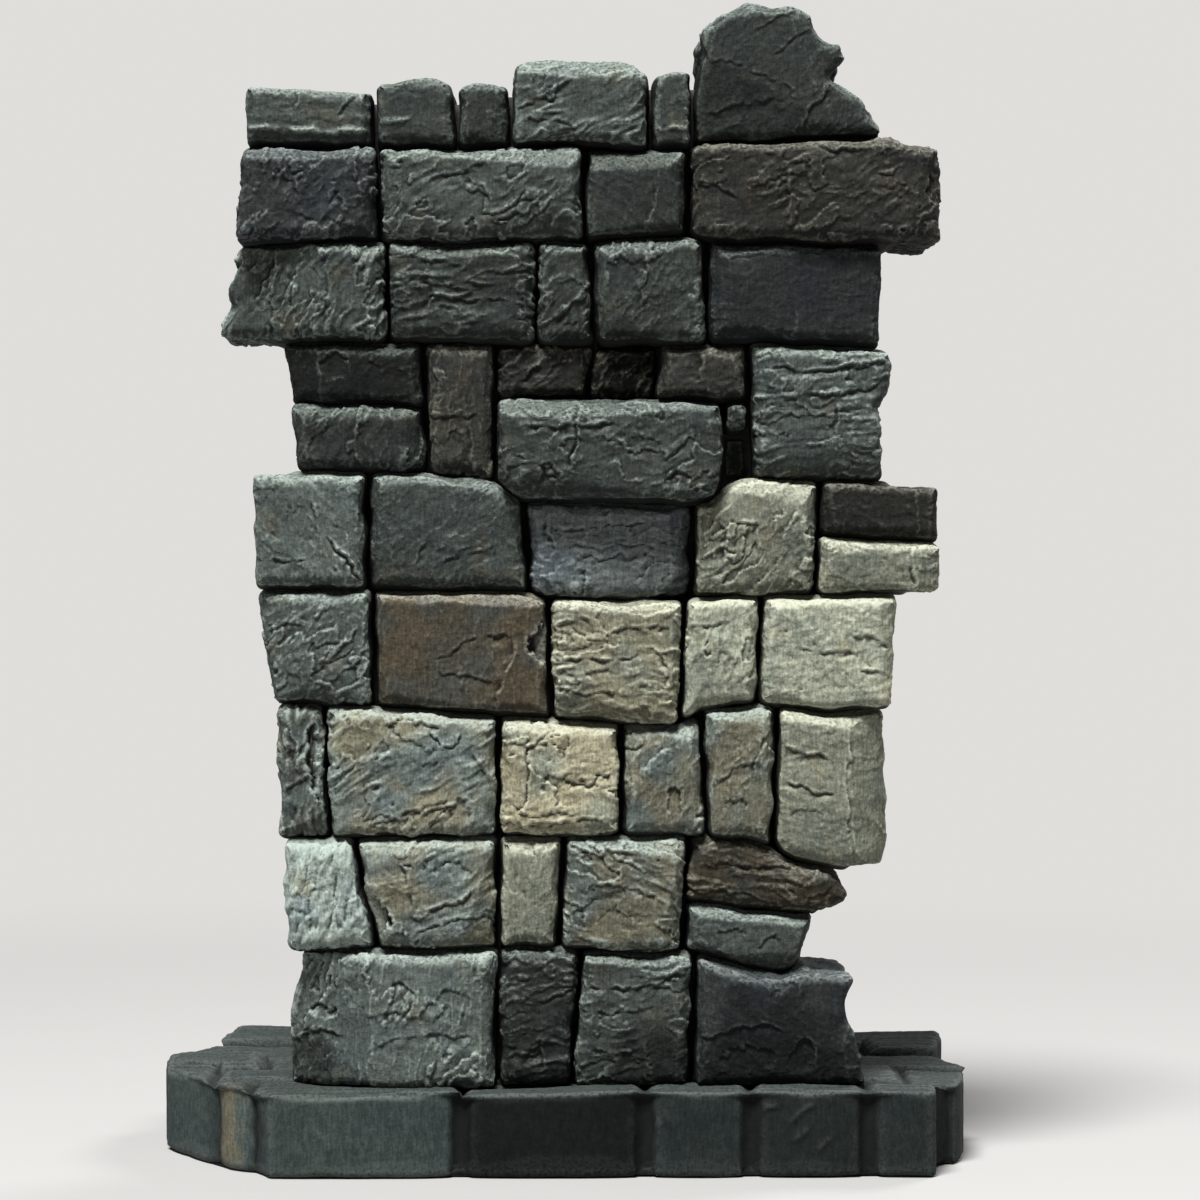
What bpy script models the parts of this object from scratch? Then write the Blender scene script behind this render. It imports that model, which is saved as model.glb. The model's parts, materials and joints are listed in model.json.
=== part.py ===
"""A miniature ruined wall on a flagstone base, built up from separate stones.

Sizes are in millimetres and become metres through MM. X runs along the wall, Y from its front to its
back and Z up. The origin is the middle of the base's footprint, on the surface that the base stands on.
"""

import math
from collections import namedtuple

import bmesh
import bpy
from mathutils import Matrix, Vector

MM = 0.001
WELD = 0.00001

# Fits
CLEARANCE = 0.3
JOINT = 1.5

# Base slab
BASE_DEPTH = 85.0
BASE_HEIGHT = 13.5
BASE_ARRIS = 0.8
GROOVE_DEPTH = 1.2

# Wall
WALL_SETBACK = 5.5
WALL_DEPTH = 28.0
STONE_ARRIS = 1.0
MORTAR_RECESS = 3.0
MORTAR_SETBACK = 2.5
MORTAR_STEP = 3.0
BACK_STEPS = (0.0, 0.6, -0.4, 0.3, -0.7)

# Proud block in course 6, and the chink beside it at its foot and its head
PROUD_WIDTH = 36.0
PROUD_REACH = 5.0
CHINK_FOOT = 4.5
CHINK_HEAD = 4.0

# Anchor dowels
DOWEL_DIAMETER = 4.0
DOWEL_IN_BASE = 9.0
DOWEL_IN_STONE = 13.0
DOWEL_SIDES = 24
DOWEL_ARRIS = 0.4

# Base outline: (x, distance behind the front edge), round the left side to the back, then the right side
BASE_LEFT = (
    (-47.5, 0.0), (-48.0, 2.5), (-55.5, 11.0), (-57.0, 13.0), (-66.0, 32.0),
    (-66.5, 40.0), (-66.5, 56.0), (-60.0, 65.0), (-58.5, BASE_DEPTH),
)
BASE_RIGHT = (
    (57.5, 0.0), (58.5, 10.0), (62.5, 12.0), (66.0, 33.0), (62.0, 45.0), (65.0, 66.0),
    (66.5, 78.0), (66.5, BASE_DEPTH),
)

# Flagstone rows: where each row line meets the left and right edges, behind the front edge
ROW_LINES = ((12.5, 11.5), (30.0, 31.0), (47.5, 46.0), (65.0, 66.0))
ROW_REACH = 75.0

# Joints across each flagstone row, from the front row to the back row
CROSS_JOINTS = (
    (-17.0, 12.0, 28.5, 47.0),
    (-42.0, -14.0, 8.0, 34.0, 54.0),
    (-50.0, -27.0, -4.0, 19.0, 43.0),
    (-43.0, -18.0, 7.0, 31.0, 51.0),
    (-35.0, -9.0, 16.0, 41.0),
)

# Courses, from the ground up: each nominal height, then the waves of the bed line over it as (x, rise)
COURSE_HEIGHTS = (21.5, 18.0, 20.5, 18.5, 18.3, 20.6, 15.8, 14.9)
BED_WAVES = (
    (
        (-45, 0.0), (-14, 0.0), (-6, 0.5), (10, -0.5), (20, -0.5), (27, -2.8), (33.5, -4.2), (37, -2.6),
        (48, -3.8),
    ),
    ((-46, -0.5), (-10, 0.0), (18, 0.0), (28, -0.5), (32, -1.8), (36, -4.2), (42, -5.4)),
    (
        (-46, 0.5), (-31, 0.0), (-10, -1.5), (8, -2.8), (17.5, -3.0), (21, -0.5), (30, 0.3), (41, -1.0),
        (52, -0.5),
    ),
    ((-50, 0.0), (-8, -0.3), (-3, -1.5), (10, -2.0), (18, -1.8), (21, -1.0), (52, -0.8)),
    ((-50, 0.5), (-23, 0.0), (-12, -1.0), (-8, -4.6), (22, -4.8), (26.5, -1.0), (49, -1.2), (60, -1.6)),
    ((-56, 0.5), (-28, 0.0), (10, -0.3), (30, 0.0), (52, -1.0)),
    ((-56, -0.3), (-30, 0.0), (4, 0.0), (8, 0.6), (19, 1.0), (23, 0.0), (60, -0.5)),
    ((-52, 0.0), (-14, 0.0), (0, 0.6), (10, -0.4), (18, -0.6), (21, 0.8), (50, 1.6), (53, 0.9), (60, 0.1)),
)

# Bed points nearer than this to a stone's corner are left out of its outline
BED_CORNER = 1.8

# A stone's foot and head are its widths between the joint centres, and proud is how far its face stands
# forward of the wall. A width of None takes what the column has left.
Stone = namedtuple("Stone", "name foot head proud finish", defaults=("slate_grey",))

# A stack parts a column into two runs of stones by a bed of its own, with (x, rise) from the course's foot.
Stack = namedtuple("Stack", "foot head bed lower upper")

# Left ends of the courses: x at the foot and at the head
COURSE_LEFT = (
    (-43.5, -42.0), (-44.0, -44.5), (-45.5, -45.5), (-46.0, -48.8), (-49.0, -49.5),
    (-42.0, -45.0), (-55.0, -51.5), (-52.0, -51.0), (-50.5, -50.5),
)

COURSES = (
    (
        Stone("course1_left_end", 32.5, 31.0, 0.6),
        Stone("course1_narrow", 11.5, 13.0, -0.4),
        Stone("course1_middle", 19.0, 18.0, 0.2),
        Stone("course1_right_end", 27.5, 25.0, 0.4, "slate_blue"),
    ),
    (
        Stone("course2_left_end", 14.0, 10.5, 0.2),
        Stone("course2_left", 19.0, 23.0, 0.4),
        Stone("course2_narrow", 9.5, 10.5, -0.2, "slate_tan"),
        Stone("course2_middle", 19.5, 19.5, 0.2),
        Stack(
            18.0, 22.5, ((18, 7.6), (27, 6.5), (37, 5.6), (46, 6.4)),
            (Stone("course2_right_lower", None, None, -0.4),),
            (Stone("course2_right_upper", None, None, 0.0, "slate_brown"),),
        ),
    ),
    (
        Stone("course3_left_end", 8.0, 7.0, -1.2),
        Stone("course3_left", 26.5, 27.5, 0.6),
        Stone("course3_middle", 19.5, 19.5, 0.0, "slate_tan"),
        Stone("course3_right_middle", 13.5, 12.5, -0.3),
        Stone("course3_right", 10.5, 12.0, 0.3),
        Stone("course3_right_end", 17.0, 17.0, 0.5, "slate_tan"),
    ),
    (
        Stone("course4_left_end", 15.5, 17.8, 0.2),
        Stone("course4_left", 28.0, 28.0, 0.3, "slate_brown"),
        Stone("course4_middle", 20.0, 21.5, 0.4, "slate_tan"),
        Stone("course4_narrow", 12.5, 12.0, 0.0, "slate_tan"),
        Stone("course4_right_end", 21.0, 21.0, 0.5, "slate_tan"),
    ),
    (
        Stone("course5_left_end", 17.5, 18.0, 0.4),
        Stone("course5_left", 25.5, 24.5, 0.0),
        Stone("course5_middle", 25.5, 27.0, -0.6, "slate_blue"),
        Stone("course5_right", 19.5, 20.0, 0.3, "slate_tan"),
        Stack(
            19.5, 18.5, ((38, 8.8), (43, 7.9), (58, 7.3)),
            (Stone("course5_right_lower", None, None, 0.4, "slate_tan"),),
            (Stone("course5_right_upper", None, None, -0.6, "slate_brown"),),
        ),
    ),
    (
        Stack(
            20.0, 22.0, ((-46, 10.8), (-22, 10.6)),
            (Stone("course6_left_lower", None, None, 0.0),),
            (Stone("course6_left_upper", None, None, -0.6),),
        ),
        Stone("course6_upright", 10.5, 11.5, -0.8, "slate_brown"),
        Stack(
            PROUD_WIDTH + CHINK_FOOT, PROUD_WIDTH + CHINK_HEAD, ((-12, 11.8), (29, 11.3)),
            (
                Stone("proud_block", PROUD_WIDTH, PROUD_WIDTH, PROUD_REACH),
                Stack(
                    None, None, ((24, 6.2), (30, 6.4)),
                    (Stone("chink_stone", None, None, -9.0),),
                    (Stone("filler_stone", None, None, -2.0),),
                ),
            ),
            (
                Stone("course6_over_left", 14.5, 16.0, -1.6, "slate_brown"),
                Stone("course6_over_middle", 10.5, 10.0, -3.2, "slate_brown"),
                Stone("course6_over_right", None, None, -0.4, "slate_brown"),
            ),
        ),
        Stone("course6_right_end", 20.0, 22.0, 0.4),
    ),
    (
        Stone("course7_left_end", 26.5, 23.0, 1.0),
        Stone("course7_left", 23.5, 23.5, 0.2),
        Stone("course7_narrow", 9.5, 8.5, -0.3),
        Stone("course7_middle", 17.5, 18.5, 0.4),
        Stone("course7_right_end", 27.0, 27.5, 0.3, "slate_blue"),
    ),
    (
        Stone("course8_left_end", 22.5, 21.0, 0.6, "slate_blue"),
        Stone("course8_left", 32.0, 32.5, 0.5),
        Stone("course8_middle", 16.5, 16.5, -0.2),
        Stone("course8_right_end", 39.5, 39.0, 0.9, "slate_brown"),
    ),
    (
        Stone("course9_left_end", 20.0, 20.0, 0.3),
        Stone("course9_left", 13.0, 13.0, -0.2),
        Stone("course9_narrow", 8.5, 8.5, -0.5),
        Stone("course9_middle", 22.0, 22.0, 0.7),
        Stone("course9_right", 6.75, 6.75, -0.4),
        Stone("cap_rock", 29.5, 29.5, 1.5),
    ),
)

# Tops of the last course: (distance from the stone's left joint, height over the nominal bed)
CROWNS = {
    "course9_left_end": ((0, 10.1), (20.0, 9.3)),
    "course9_left": ((0, 10.4), (5, 11.4), (10, 11.6), (13, 9.8)),
    "course9_narrow": ((0, 9.8), (3, 10.8), (6, 10.6), (8.5, 9.6)),
    "course9_middle": ((0, 13.0), (2, 14.4), (18.5, 14.2), (22, 11.0)),
    "course9_right": ((0, 11.2), (2, 12.7), (6.75, 12.7)),
    "cap_rock": (
        (0, 8.5), (1.5, 18.6), (4, 21.2), (9, 22.8), (15, 22.3), (18.8, 21.1), (20.8, 17.4),
        (23.8, 16.5), (24.7, 14.0), (22.3, 11.2), (26.4, 8.6), (30.0, 3.6),
    ),
}

# Broken ends: (height over the stone's foot, how far the edge stands out from the straight end)
RAGGED_LEFT = {
    "course7_left_end": ((3.0, 0.2), (6.0, -0.8), (8.5, 1.4), (11.5, -0.2)),
    "course1_left_end": ((15.0, 0.8), (18.0, -0.4)),
}
RAGGED_RIGHT = {
    "course1_right_end": ((8.0, -0.6), (11.0, -1.8), (14.5, -1.4)),
    "course2_right_upper": ((1.6, 5.6), (4.0, 3.4)),
    "course6_right_end": ((11.5, -1.0), (13.5, 0.8)),
    "course3_right_end": ((4.0, 0.8),),
}

# Broken rock that keeps sharp arrises
SHARP = ("cap_rock",)

# The footing stones that the dowels stand in
DOWELLED = {"anchor_dowel_left": "course1_left_end", "anchor_dowel_right": "course1_right_end"}

# Colour, roughness and metallic value of each finish
FINISHES = {
    "slate_grey": ((0.105, 0.118, 0.115), 0.85, 0.0),
    "slate_blue": ((0.085, 0.098, 0.115), 0.85, 0.0),
    "slate_brown": ((0.112, 0.104, 0.090), 0.85, 0.0),
    "slate_tan": ((0.175, 0.170, 0.145), 0.85, 0.0),
    "mortar": ((0.030, 0.032, 0.030), 0.95, 0.0),
    "flagstone": ((0.080, 0.094, 0.094), 0.80, 0.0),
    "steel_pin": ((0.55, 0.56, 0.58), 0.35, 1.0),
}

FRONT = -BASE_DEPTH / 2
WALL_FRONT = FRONT + WALL_SETBACK
WALL_BACK = WALL_FRONT + WALL_DEPTH
HALF_JOINT = JOINT / 2
SLACK_JOINT = HALF_JOINT - CLEARANCE
WALL_FOOT = BASE_HEIGHT + CLEARANCE
UPRIGHT = Matrix.Rotation(math.radians(90), 4, "X")
ARRIS_ANGLE = math.radians(30)


def clear_scene():
    for item in list(bpy.data.objects):
        bpy.data.objects.remove(item, do_unlink=True)


def new_collection(name, parent):
    made = bpy.data.collections.new(name)
    parent.children.link(made)
    return made


def make_finish(name):
    colour, roughness, metallic = FINISHES[name]
    finish = bpy.data.materials.new(name)
    finish.use_nodes = True
    shader = finish.node_tree.nodes["Principled BSDF"]
    shader.inputs["Base Color"].default_value = (*colour, 1.0)
    shader.inputs["Roughness"].default_value = roughness
    shader.inputs["Metallic"].default_value = metallic
    return finish


# Shaping tools


def extruded(name, outline, thickness, place, collection):
    """A solid of the outline, in millimetres, with its mid-plane where place puts it."""
    curve = bpy.data.curves.new(name, "CURVE")
    curve.dimensions = "2D"
    curve.fill_mode = "BOTH"
    curve.extrude = thickness / 2 * MM
    spline = curve.splines.new("POLY")
    spline.points.add(len(outline) - 1)
    for point, (across, up) in zip(spline.points, outline):
        point.co = (across * MM, up * MM, 0.0, 1.0)
    spline.use_cyclic_u = True
    guide = bpy.data.objects.new(name + "_outline", curve)
    collection.objects.link(guide)
    guide.matrix_world = place
    graph = bpy.context.evaluated_depsgraph_get()
    mesh = bpy.data.meshes.new_from_object(guide.evaluated_get(graph))
    tidy_mesh(mesh)
    solid = bpy.data.objects.new(name, mesh)
    collection.objects.link(solid)
    solid.matrix_world = guide.matrix_world
    bpy.data.objects.remove(guide)
    return solid


def tidy_mesh(mesh):
    """Weld the caps of a filled outline and make each flat side one face."""
    shape = bmesh.new()
    shape.from_mesh(mesh)
    bmesh.ops.remove_doubles(shape, verts=shape.verts, dist=WELD)
    bmesh.ops.dissolve_limit(shape, angle_limit=math.radians(1), verts=shape.verts, edges=shape.edges)
    bmesh.ops.recalc_face_normals(shape, faces=shape.faces)
    shape.to_mesh(mesh)
    shape.free()


def wall_solid(name, outline, front, back, collection):
    """A solid of an (x, z) outline that stands in the wall from one depth to another."""
    middle = Matrix.Translation((0.0, (front + back) / 2 * MM, 0.0))
    return extruded(name, outline, back - front, middle @ UPRIGHT, collection)


def bar(name, start, end, half_width, collection):
    """A square bar on edge between two points, which cuts a V groove as deep as half_width."""
    run = Vector(end) - Vector(start)
    middle = (Vector(start) + Vector(end)) / 2
    turn = run.to_track_quat("Z", "Y").to_matrix().to_4x4() @ Matrix.Rotation(math.radians(45), 4, "Z")
    side = half_width * math.sqrt(2)
    shape = bmesh.new()
    bmesh.ops.create_cube(shape, size=1.0)
    bmesh.ops.scale(shape, vec=(side * MM, side * MM, run.length * MM), verts=shape.verts)
    mesh = bpy.data.meshes.new(name)
    shape.to_mesh(mesh)
    shape.free()
    solid = bpy.data.objects.new(name, mesh)
    solid.matrix_world = Matrix.Translation(middle * MM) @ turn
    collection.objects.link(solid)
    return solid


def round_bar(name, centre, diameter, length, collection):
    """An upright cylinder."""
    shape = bmesh.new()
    bmesh.ops.create_cone(
        shape, cap_ends=True, segments=DOWEL_SIDES, depth=length * MM,
        radius1=diameter / 2 * MM, radius2=diameter / 2 * MM,
    )
    mesh = bpy.data.meshes.new(name)
    shape.to_mesh(mesh)
    shape.free()
    solid = bpy.data.objects.new(name, mesh)
    solid.location = Vector(centre) * MM
    collection.objects.link(solid)
    return solid


def soften(piece, width):
    """Chamfer the arrises. Hollow corners are left sharp, because a chamfer there would fill the clearance."""
    shape = bmesh.new()
    shape.from_mesh(piece.data)
    weight = shape.edges.layers.float.new("bevel_weight_edge")
    for edge in shape.edges:
        edge[weight] = float(edge.calc_face_angle_signed() > ARRIS_ANGLE)
    shape.to_mesh(piece.data)
    shape.free()
    modifier = piece.modifiers.new("arris", "BEVEL")
    modifier.width = width * MM
    modifier.segments = 1
    modifier.limit_method = "WEIGHT"


def cut(piece, cutters):
    modifier = piece.modifiers.new("cut", "BOOLEAN")
    modifier.operation = "DIFFERENCE"
    modifier.operand_type = "COLLECTION"
    modifier.collection = cutters


def hide_cutters(collection):
    for cutter in collection.all_objects:
        cutter.hide_render = True
        cutter.display_type = "WIRE"


def finish_piece(piece, finish):
    piece.data.materials.clear()
    piece.data.materials.append(finish)


# Wall layout


class Bed:
    """A bed line: a run of (x, z) points, level beyond its ends."""

    def __init__(self, level, waves):
        self.points = [(x, level + rise) for x, rise in waves]

    def at(self, x):
        if x <= self.points[0][0]:
            return self.points[0][1]
        for (x0, z0), (x1, z1) in zip(self.points, self.points[1:]):
            if x <= x1:
                return z0 + (z1 - z0) * (x - x0) / (x1 - x0)
        return self.points[-1][1]

    def between(self, left, right):
        """The bed from left to right, with the points between them that stand clear of the corners."""
        inner = [p for p in self.points if left + BED_CORNER < p[0] < right - BED_CORNER]
        return [(left, self.at(left)), *inner, (right, self.at(right))]


class Wall:
    """Works out the cell of every stone, between joint centres, and where the mortar beds end."""

    def __init__(self):
        self.cells = {}
        self.stones = []
        self.left_steps = []
        self.right_steps = []
        self.top_steps = []
        levels = [WALL_FOOT - HALF_JOINT]
        ground = Bed(levels[0], ((0.0, 0.0),))
        level = BASE_HEIGHT
        self.beds = [ground]
        for height, waves in zip(COURSE_HEIGHTS, BED_WAVES):
            level += height
            levels.append(level)
            self.beds.append(Bed(level, waves))
        ends = []
        for index, course in enumerate(COURSES):
            low = self.beds[index]
            top = self.beds[index + 1] if index + 1 < len(self.beds) else None
            base_level = levels[index] if index else BASE_HEIGHT
            foot, head = COURSE_LEFT[index]
            left = (foot - HALF_JOINT, head - HALF_JOINT)
            right = self.lay_run(course, left, None, low, top, base_level, True, True)
            ends.append((left, right))
        for index in range(1, len(ends)):
            self.add_bed_ends(self.beds[index], ends[index - 1], ends[index])
        self.foot_ends = (ends[0][0][0], ends[0][1][0])

    def lay_run(self, run, left, limit, low, top, level, opens_left, opens_right):
        """Place a run of stones and stacks from left, and return its right end as (foot, head)."""
        for index, item in enumerate(run):
            opens = (opens_left and index == 0, opens_right and index == len(run) - 1)
            if item.foot is None:
                right = limit
            else:
                spare = HALF_JOINT * (opens[0] + opens[1])
                right = (left[0] + item.foot + spare, left[1] + item.head + spare)
            if isinstance(item, Stack):
                self.lay_stack(item, left, right, low, top, level, opens)
            else:
                self.lay_stone(item, left, right, low, top, level)
            left = right
        return left

    def lay_stack(self, stack, left, right, low, top, level, opens):
        bed = Bed(level, stack.bed)
        splits = []
        for ends in (left, right):
            split_z = bed.at(ends[0])
            share = (split_z - low.at(ends[0])) / (top.at(ends[1]) - low.at(ends[0]))
            splits.append(ends[0] + (ends[1] - ends[0]) * share)
        self.lay_run(stack.lower, (left[0], splits[0]), (right[0], splits[1]), low, bed, level, *opens)
        self.lay_run(stack.upper, (splits[0], left[1]), (splits[1], right[1]), bed, top, level, *opens)
        if opens[0]:
            self.left_steps.append(self.step(bed, splits[0] + MORTAR_SETBACK))
        if opens[1]:
            self.right_steps.append(self.step(bed, splits[1] - MORTAR_SETBACK))

    def lay_stone(self, stone, left, right, low, top, level):
        outline = low.between(left[0], right[0])
        if stone.name in CROWNS:
            crown = [(left[0] + along, level + height) for along, height in CROWNS[stone.name]]
            crown[-1] = (max(crown[-1][0], right[1]), crown[-1][1])
            self.top_steps.append((left[0], crown[0][1], right[0], crown[-1][1]))
        else:
            crown = top.between(left[1], right[1])
        outline += ragged(stone, RAGGED_RIGHT, outline[-1], crown[-1], 1)
        outline += crown[::-1]
        outline += ragged(stone, RAGGED_LEFT, outline[0], crown[0], -1)[::-1]
        self.cells[stone.name] = outline
        self.stones.append(stone)

    def step(self, bed, x):
        return (x, bed.at(x))

    def add_bed_ends(self, bed, under, over):
        left = max(under[0][1], over[0][0]) + MORTAR_SETBACK
        right = min(under[1][1], over[1][0]) - MORTAR_SETBACK
        self.left_steps.append(self.step(bed, left))
        self.right_steps.append(self.step(bed, right))

    def mortar_outline(self):
        """The outline of the jointing: set back at the ends and the top, with its steps inside the stones."""
        left = [(self.foot_ends[0] + MORTAR_SETBACK, WALL_FOOT)]
        for x, z in sorted(self.left_steps, key=lambda step: step[1]):
            left += [(x, z - MORTAR_STEP), (x, z + MORTAR_STEP)]
        right = [(self.foot_ends[1] - MORTAR_SETBACK, WALL_FOOT)]
        for x, z in sorted(self.right_steps, key=lambda step: step[1]):
            right += [(x, z - MORTAR_STEP), (x, z + MORTAR_STEP)]
        crest = []
        for near, far in zip(self.top_steps, self.top_steps[1:]):
            z = min(near[3], far[1]) - MORTAR_SETBACK
            crest += [(far[0] - MORTAR_STEP / 2, z), (far[0] + MORTAR_STEP / 2, z)]
        return left + crest + right[::-1]


def ragged(stone, table, foot, head, side):
    """The points of a broken end between a stone's foot and its head, from the foot up."""
    points = []
    for up, push in table.get(stone.name, ()):
        share = up / (head[1] - foot[1])
        points.append((foot[0] + (head[0] - foot[0]) * share + side * push, foot[1] + up))
    return points


def inset(outline, distance):
    """An outline that runs anticlockwise, with every side moved inward by the distance."""
    moved = []
    count = len(outline)
    for index in range(count):
        before = Vector(outline[index - 1])
        here = Vector(outline[index])
        after = Vector(outline[(index + 1) % count])
        first = (here - before).normalized()
        second = (after - here).normalized()
        inward = Vector((-first.y - second.y, first.x + second.x)).normalized()
        reach = distance / inward.dot(Vector((-first.y, first.x)))
        moved.append(tuple(here + inward * reach))
    return moved


# Pieces


def build_base(parts, cutters, dowel_holes, finish):
    outline = [(x, FRONT + behind) for x, behind in BASE_RIGHT]
    outline += [(x, FRONT + behind) for x, behind in reversed(BASE_LEFT)]
    middle = Matrix.Translation((0.0, 0.0, BASE_HEIGHT / 2 * MM))
    base = extruded("flagstone_base", outline, BASE_HEIGHT, middle, parts)
    grooves = new_collection("flagstone_grooves", cutters)
    for number, (left, right) in enumerate(ROW_LINES, 1):
        start = (-ROW_REACH, FRONT + left, BASE_HEIGHT)
        end = (ROW_REACH, FRONT + right, BASE_HEIGHT)
        bar(f"row_groove_{number}", start, end, GROOVE_DEPTH, grooves)
    for row, joints in enumerate(CROSS_JOINTS):
        for number, x in enumerate(joints, 1):
            start = (x, FRONT + row_depth(row - 1, x), BASE_HEIGHT)
            end = (x, FRONT + row_depth(row, x), BASE_HEIGHT)
            bar(f"cross_groove_{row + 1}_{number}", start, end, GROOVE_DEPTH, grooves)
    for number, x in enumerate(CROSS_JOINTS[0], 1):
        start = (x, FRONT, -GROOVE_DEPTH)
        end = (x, FRONT, BASE_HEIGHT + GROOVE_DEPTH)
        bar(f"face_groove_{number}", start, end, GROOVE_DEPTH, grooves)
    soften(base, BASE_ARRIS)
    cut(base, grooves)
    cut(base, dowel_holes)
    finish_piece(base, finish)


def row_depth(row, x):
    """How far behind the front edge a row line runs at x; the first and last rows end at the slab's edges."""
    if row < 0:
        return -GROOVE_DEPTH
    if row >= len(ROW_LINES):
        return BASE_DEPTH + GROOVE_DEPTH
    left, right = ROW_LINES[row]
    return left + (right - left) * (x + ROW_REACH) / (2 * ROW_REACH)


def build_stones(wall, parts, dowel_holes, finishes):
    for index, stone in enumerate(wall.stones):
        outline = inset(wall.cells[stone.name], HALF_JOINT)
        front = WALL_FRONT - stone.proud
        back = WALL_BACK + BACK_STEPS[index % len(BACK_STEPS)]
        piece = wall_solid(stone.name, outline, front, back, parts)
        if stone.name not in SHARP:
            soften(piece, STONE_ARRIS)
        if stone.name in DOWELLED.values():
            cut(piece, dowel_holes)
        finish_piece(piece, finishes[stone.finish])


def build_mortar(wall, parts, cutters, finish):
    pockets = new_collection("stone_pockets", cutters)
    front = WALL_FRONT + MORTAR_RECESS
    back = WALL_BACK - MORTAR_RECESS
    for name, cell in wall.cells.items():
        outline = inset(cell, SLACK_JOINT)
        wall_solid(name + "_pocket", outline, WALL_FRONT, WALL_BACK, pockets)
    mortar = wall_solid("mortar_core", wall.mortar_outline(), front, back, parts)
    cut(mortar, pockets)
    finish_piece(mortar, finish)


def build_dowels(wall, parts, dowel_holes, finish):
    length = DOWEL_IN_BASE + DOWEL_IN_STONE
    middle_z = BASE_HEIGHT + (DOWEL_IN_STONE - DOWEL_IN_BASE) / 2
    for name, stone in DOWELLED.items():
        across = [x for x, z in wall.cells[stone] if z < WALL_FOOT]
        centre = ((min(across) + max(across)) / 2, (WALL_FRONT + WALL_BACK) / 2, middle_z)
        dowel = round_bar(name, centre, DOWEL_DIAMETER, length, parts)
        soften(dowel, DOWEL_ARRIS)
        finish_piece(dowel, finish)
        hole = DOWEL_DIAMETER + 2 * CLEARANCE
        round_bar(name + "_hole", centre, hole, length + 2 * CLEARANCE, dowel_holes)


def main():
    clear_scene()
    parts = new_collection("terrain_ruin", bpy.context.scene.collection)
    cutters = new_collection("cutters", bpy.context.scene.collection)
    dowel_holes = new_collection("dowel_holes", cutters)
    finishes = {name: make_finish(name) for name in FINISHES}
    wall = Wall()
    build_dowels(wall, parts, dowel_holes, finishes["steel_pin"])
    build_base(parts, cutters, dowel_holes, finishes["flagstone"])
    build_stones(wall, parts, dowel_holes, finishes)
    build_mortar(wall, parts, cutters, finishes["mortar"])
    hide_cutters(cutters)


main()
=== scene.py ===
"""The looks of the ruined wall: rough rock carved where the frame has plain blocks.

Lengths are in millimetres and become metres through MM. X runs along the wall, Y from its front to its
back and Z up. A block is carved in its own axes: across, up its face, and deep, from its face inwards.
Each use of noise adds a number of its own to the seed of the piece.
"""

import json
import math
from collections import namedtuple
from typing import NamedTuple

import bmesh
import bpy
import numpy as np
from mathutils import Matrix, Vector
from mathutils.geometry import delaunay_2d_cdt


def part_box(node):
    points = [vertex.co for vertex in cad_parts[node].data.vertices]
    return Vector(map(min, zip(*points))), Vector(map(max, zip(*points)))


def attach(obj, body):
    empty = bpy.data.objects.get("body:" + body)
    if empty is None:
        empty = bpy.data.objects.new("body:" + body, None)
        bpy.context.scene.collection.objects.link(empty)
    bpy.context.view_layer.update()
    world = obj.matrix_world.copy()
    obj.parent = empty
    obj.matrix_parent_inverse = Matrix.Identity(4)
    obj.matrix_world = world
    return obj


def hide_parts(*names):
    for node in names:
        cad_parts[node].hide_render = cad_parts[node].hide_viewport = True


MM = 0.001
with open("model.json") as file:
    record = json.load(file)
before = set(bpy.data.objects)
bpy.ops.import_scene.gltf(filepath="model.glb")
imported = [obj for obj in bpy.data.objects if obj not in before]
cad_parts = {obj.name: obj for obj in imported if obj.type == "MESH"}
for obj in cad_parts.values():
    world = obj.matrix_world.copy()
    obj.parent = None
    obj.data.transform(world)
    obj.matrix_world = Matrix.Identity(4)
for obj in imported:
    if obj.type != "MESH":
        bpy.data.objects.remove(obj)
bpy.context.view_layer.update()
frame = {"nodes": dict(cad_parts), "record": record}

# Seeds of the pieces, by their number in the record
SEED_STEP = 100

# Noise: the hash of a lattice cell, and how finer layers follow coarser ones
HASH_PRIMES = (73856093, 19349663, 83492791)
HASH_SEED = 2654435761
HASH_MIX = 0x45D9F3B
NOISE_GAIN = 1.4
SCALLOP_JITTER = 0.7
FINER = 2.03
FAINTER = 0.5
LAYER_SEED = 31

# Mesh of a carved block, with its rounds of smoothing
SPACING = 0.28
BASE_SPACING = 0.45
EDGE_BAND = 3.2
EDGE_STEP = 0.4
SHOWN_STEP = 0.6
HIDDEN_STEP = 1.6
SHOWN_SIDES = ("_end", "course9", "cap_rock", "proud_block")
EDGE_CLEARANCE = 0.6
WELD = 0.001
STRAIGHT_TURN = 0.002
MERGE = 1e-5
RING_ROUNDS = 8
NORMAL_ROUNDS = 4
CLOSE_ROUNDS = 6
WIDE_ROUNDS = 30

# Parts of the texture square that the near face, the far face and the sides of a block take up
FRONT_UV = ((0.01, 0.51), (0.99, 0.99))
BACK_UV = ((0.01, 0.01), (0.44, 0.49))
SIDE_UV = ((0.46, 0.01), (0.99, 0.49))

# Chamfers of the frame's outlines, which the carved stones do without
CHAMFER = 1.7
CHAMFER_LEAN = 0.45

# Wear of the arrises
ARRIS = 1.7
SMALL_ARRIS = 0.2
ARRIS_SIZE = 7.0
ARRIS_SPREAD = 0.5
LEAST_ARRIS = 0.45
TINY = 1e-6

# Scoops broken out of the arrises: how many, how big, where, and which way they face
CHIPS = (2, 5)
CHIP_RADIUS = (1.5, 4.5)
CHIP_BITE = (0.3, 0.8)
CHIP_SPAN = (0.2, 0.8)
CHIP_ASIDE = (0.5, 1.0)
CHIP_DEEP = (0.4, 1.0)
CORNER_CHIPS = 0.6
NEAR_CHIPS = 0.6
SHARP_TURN = 0.6
SCOOP_ROUGH = 0.15
SCOOP_SIZE = 1.3

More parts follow.
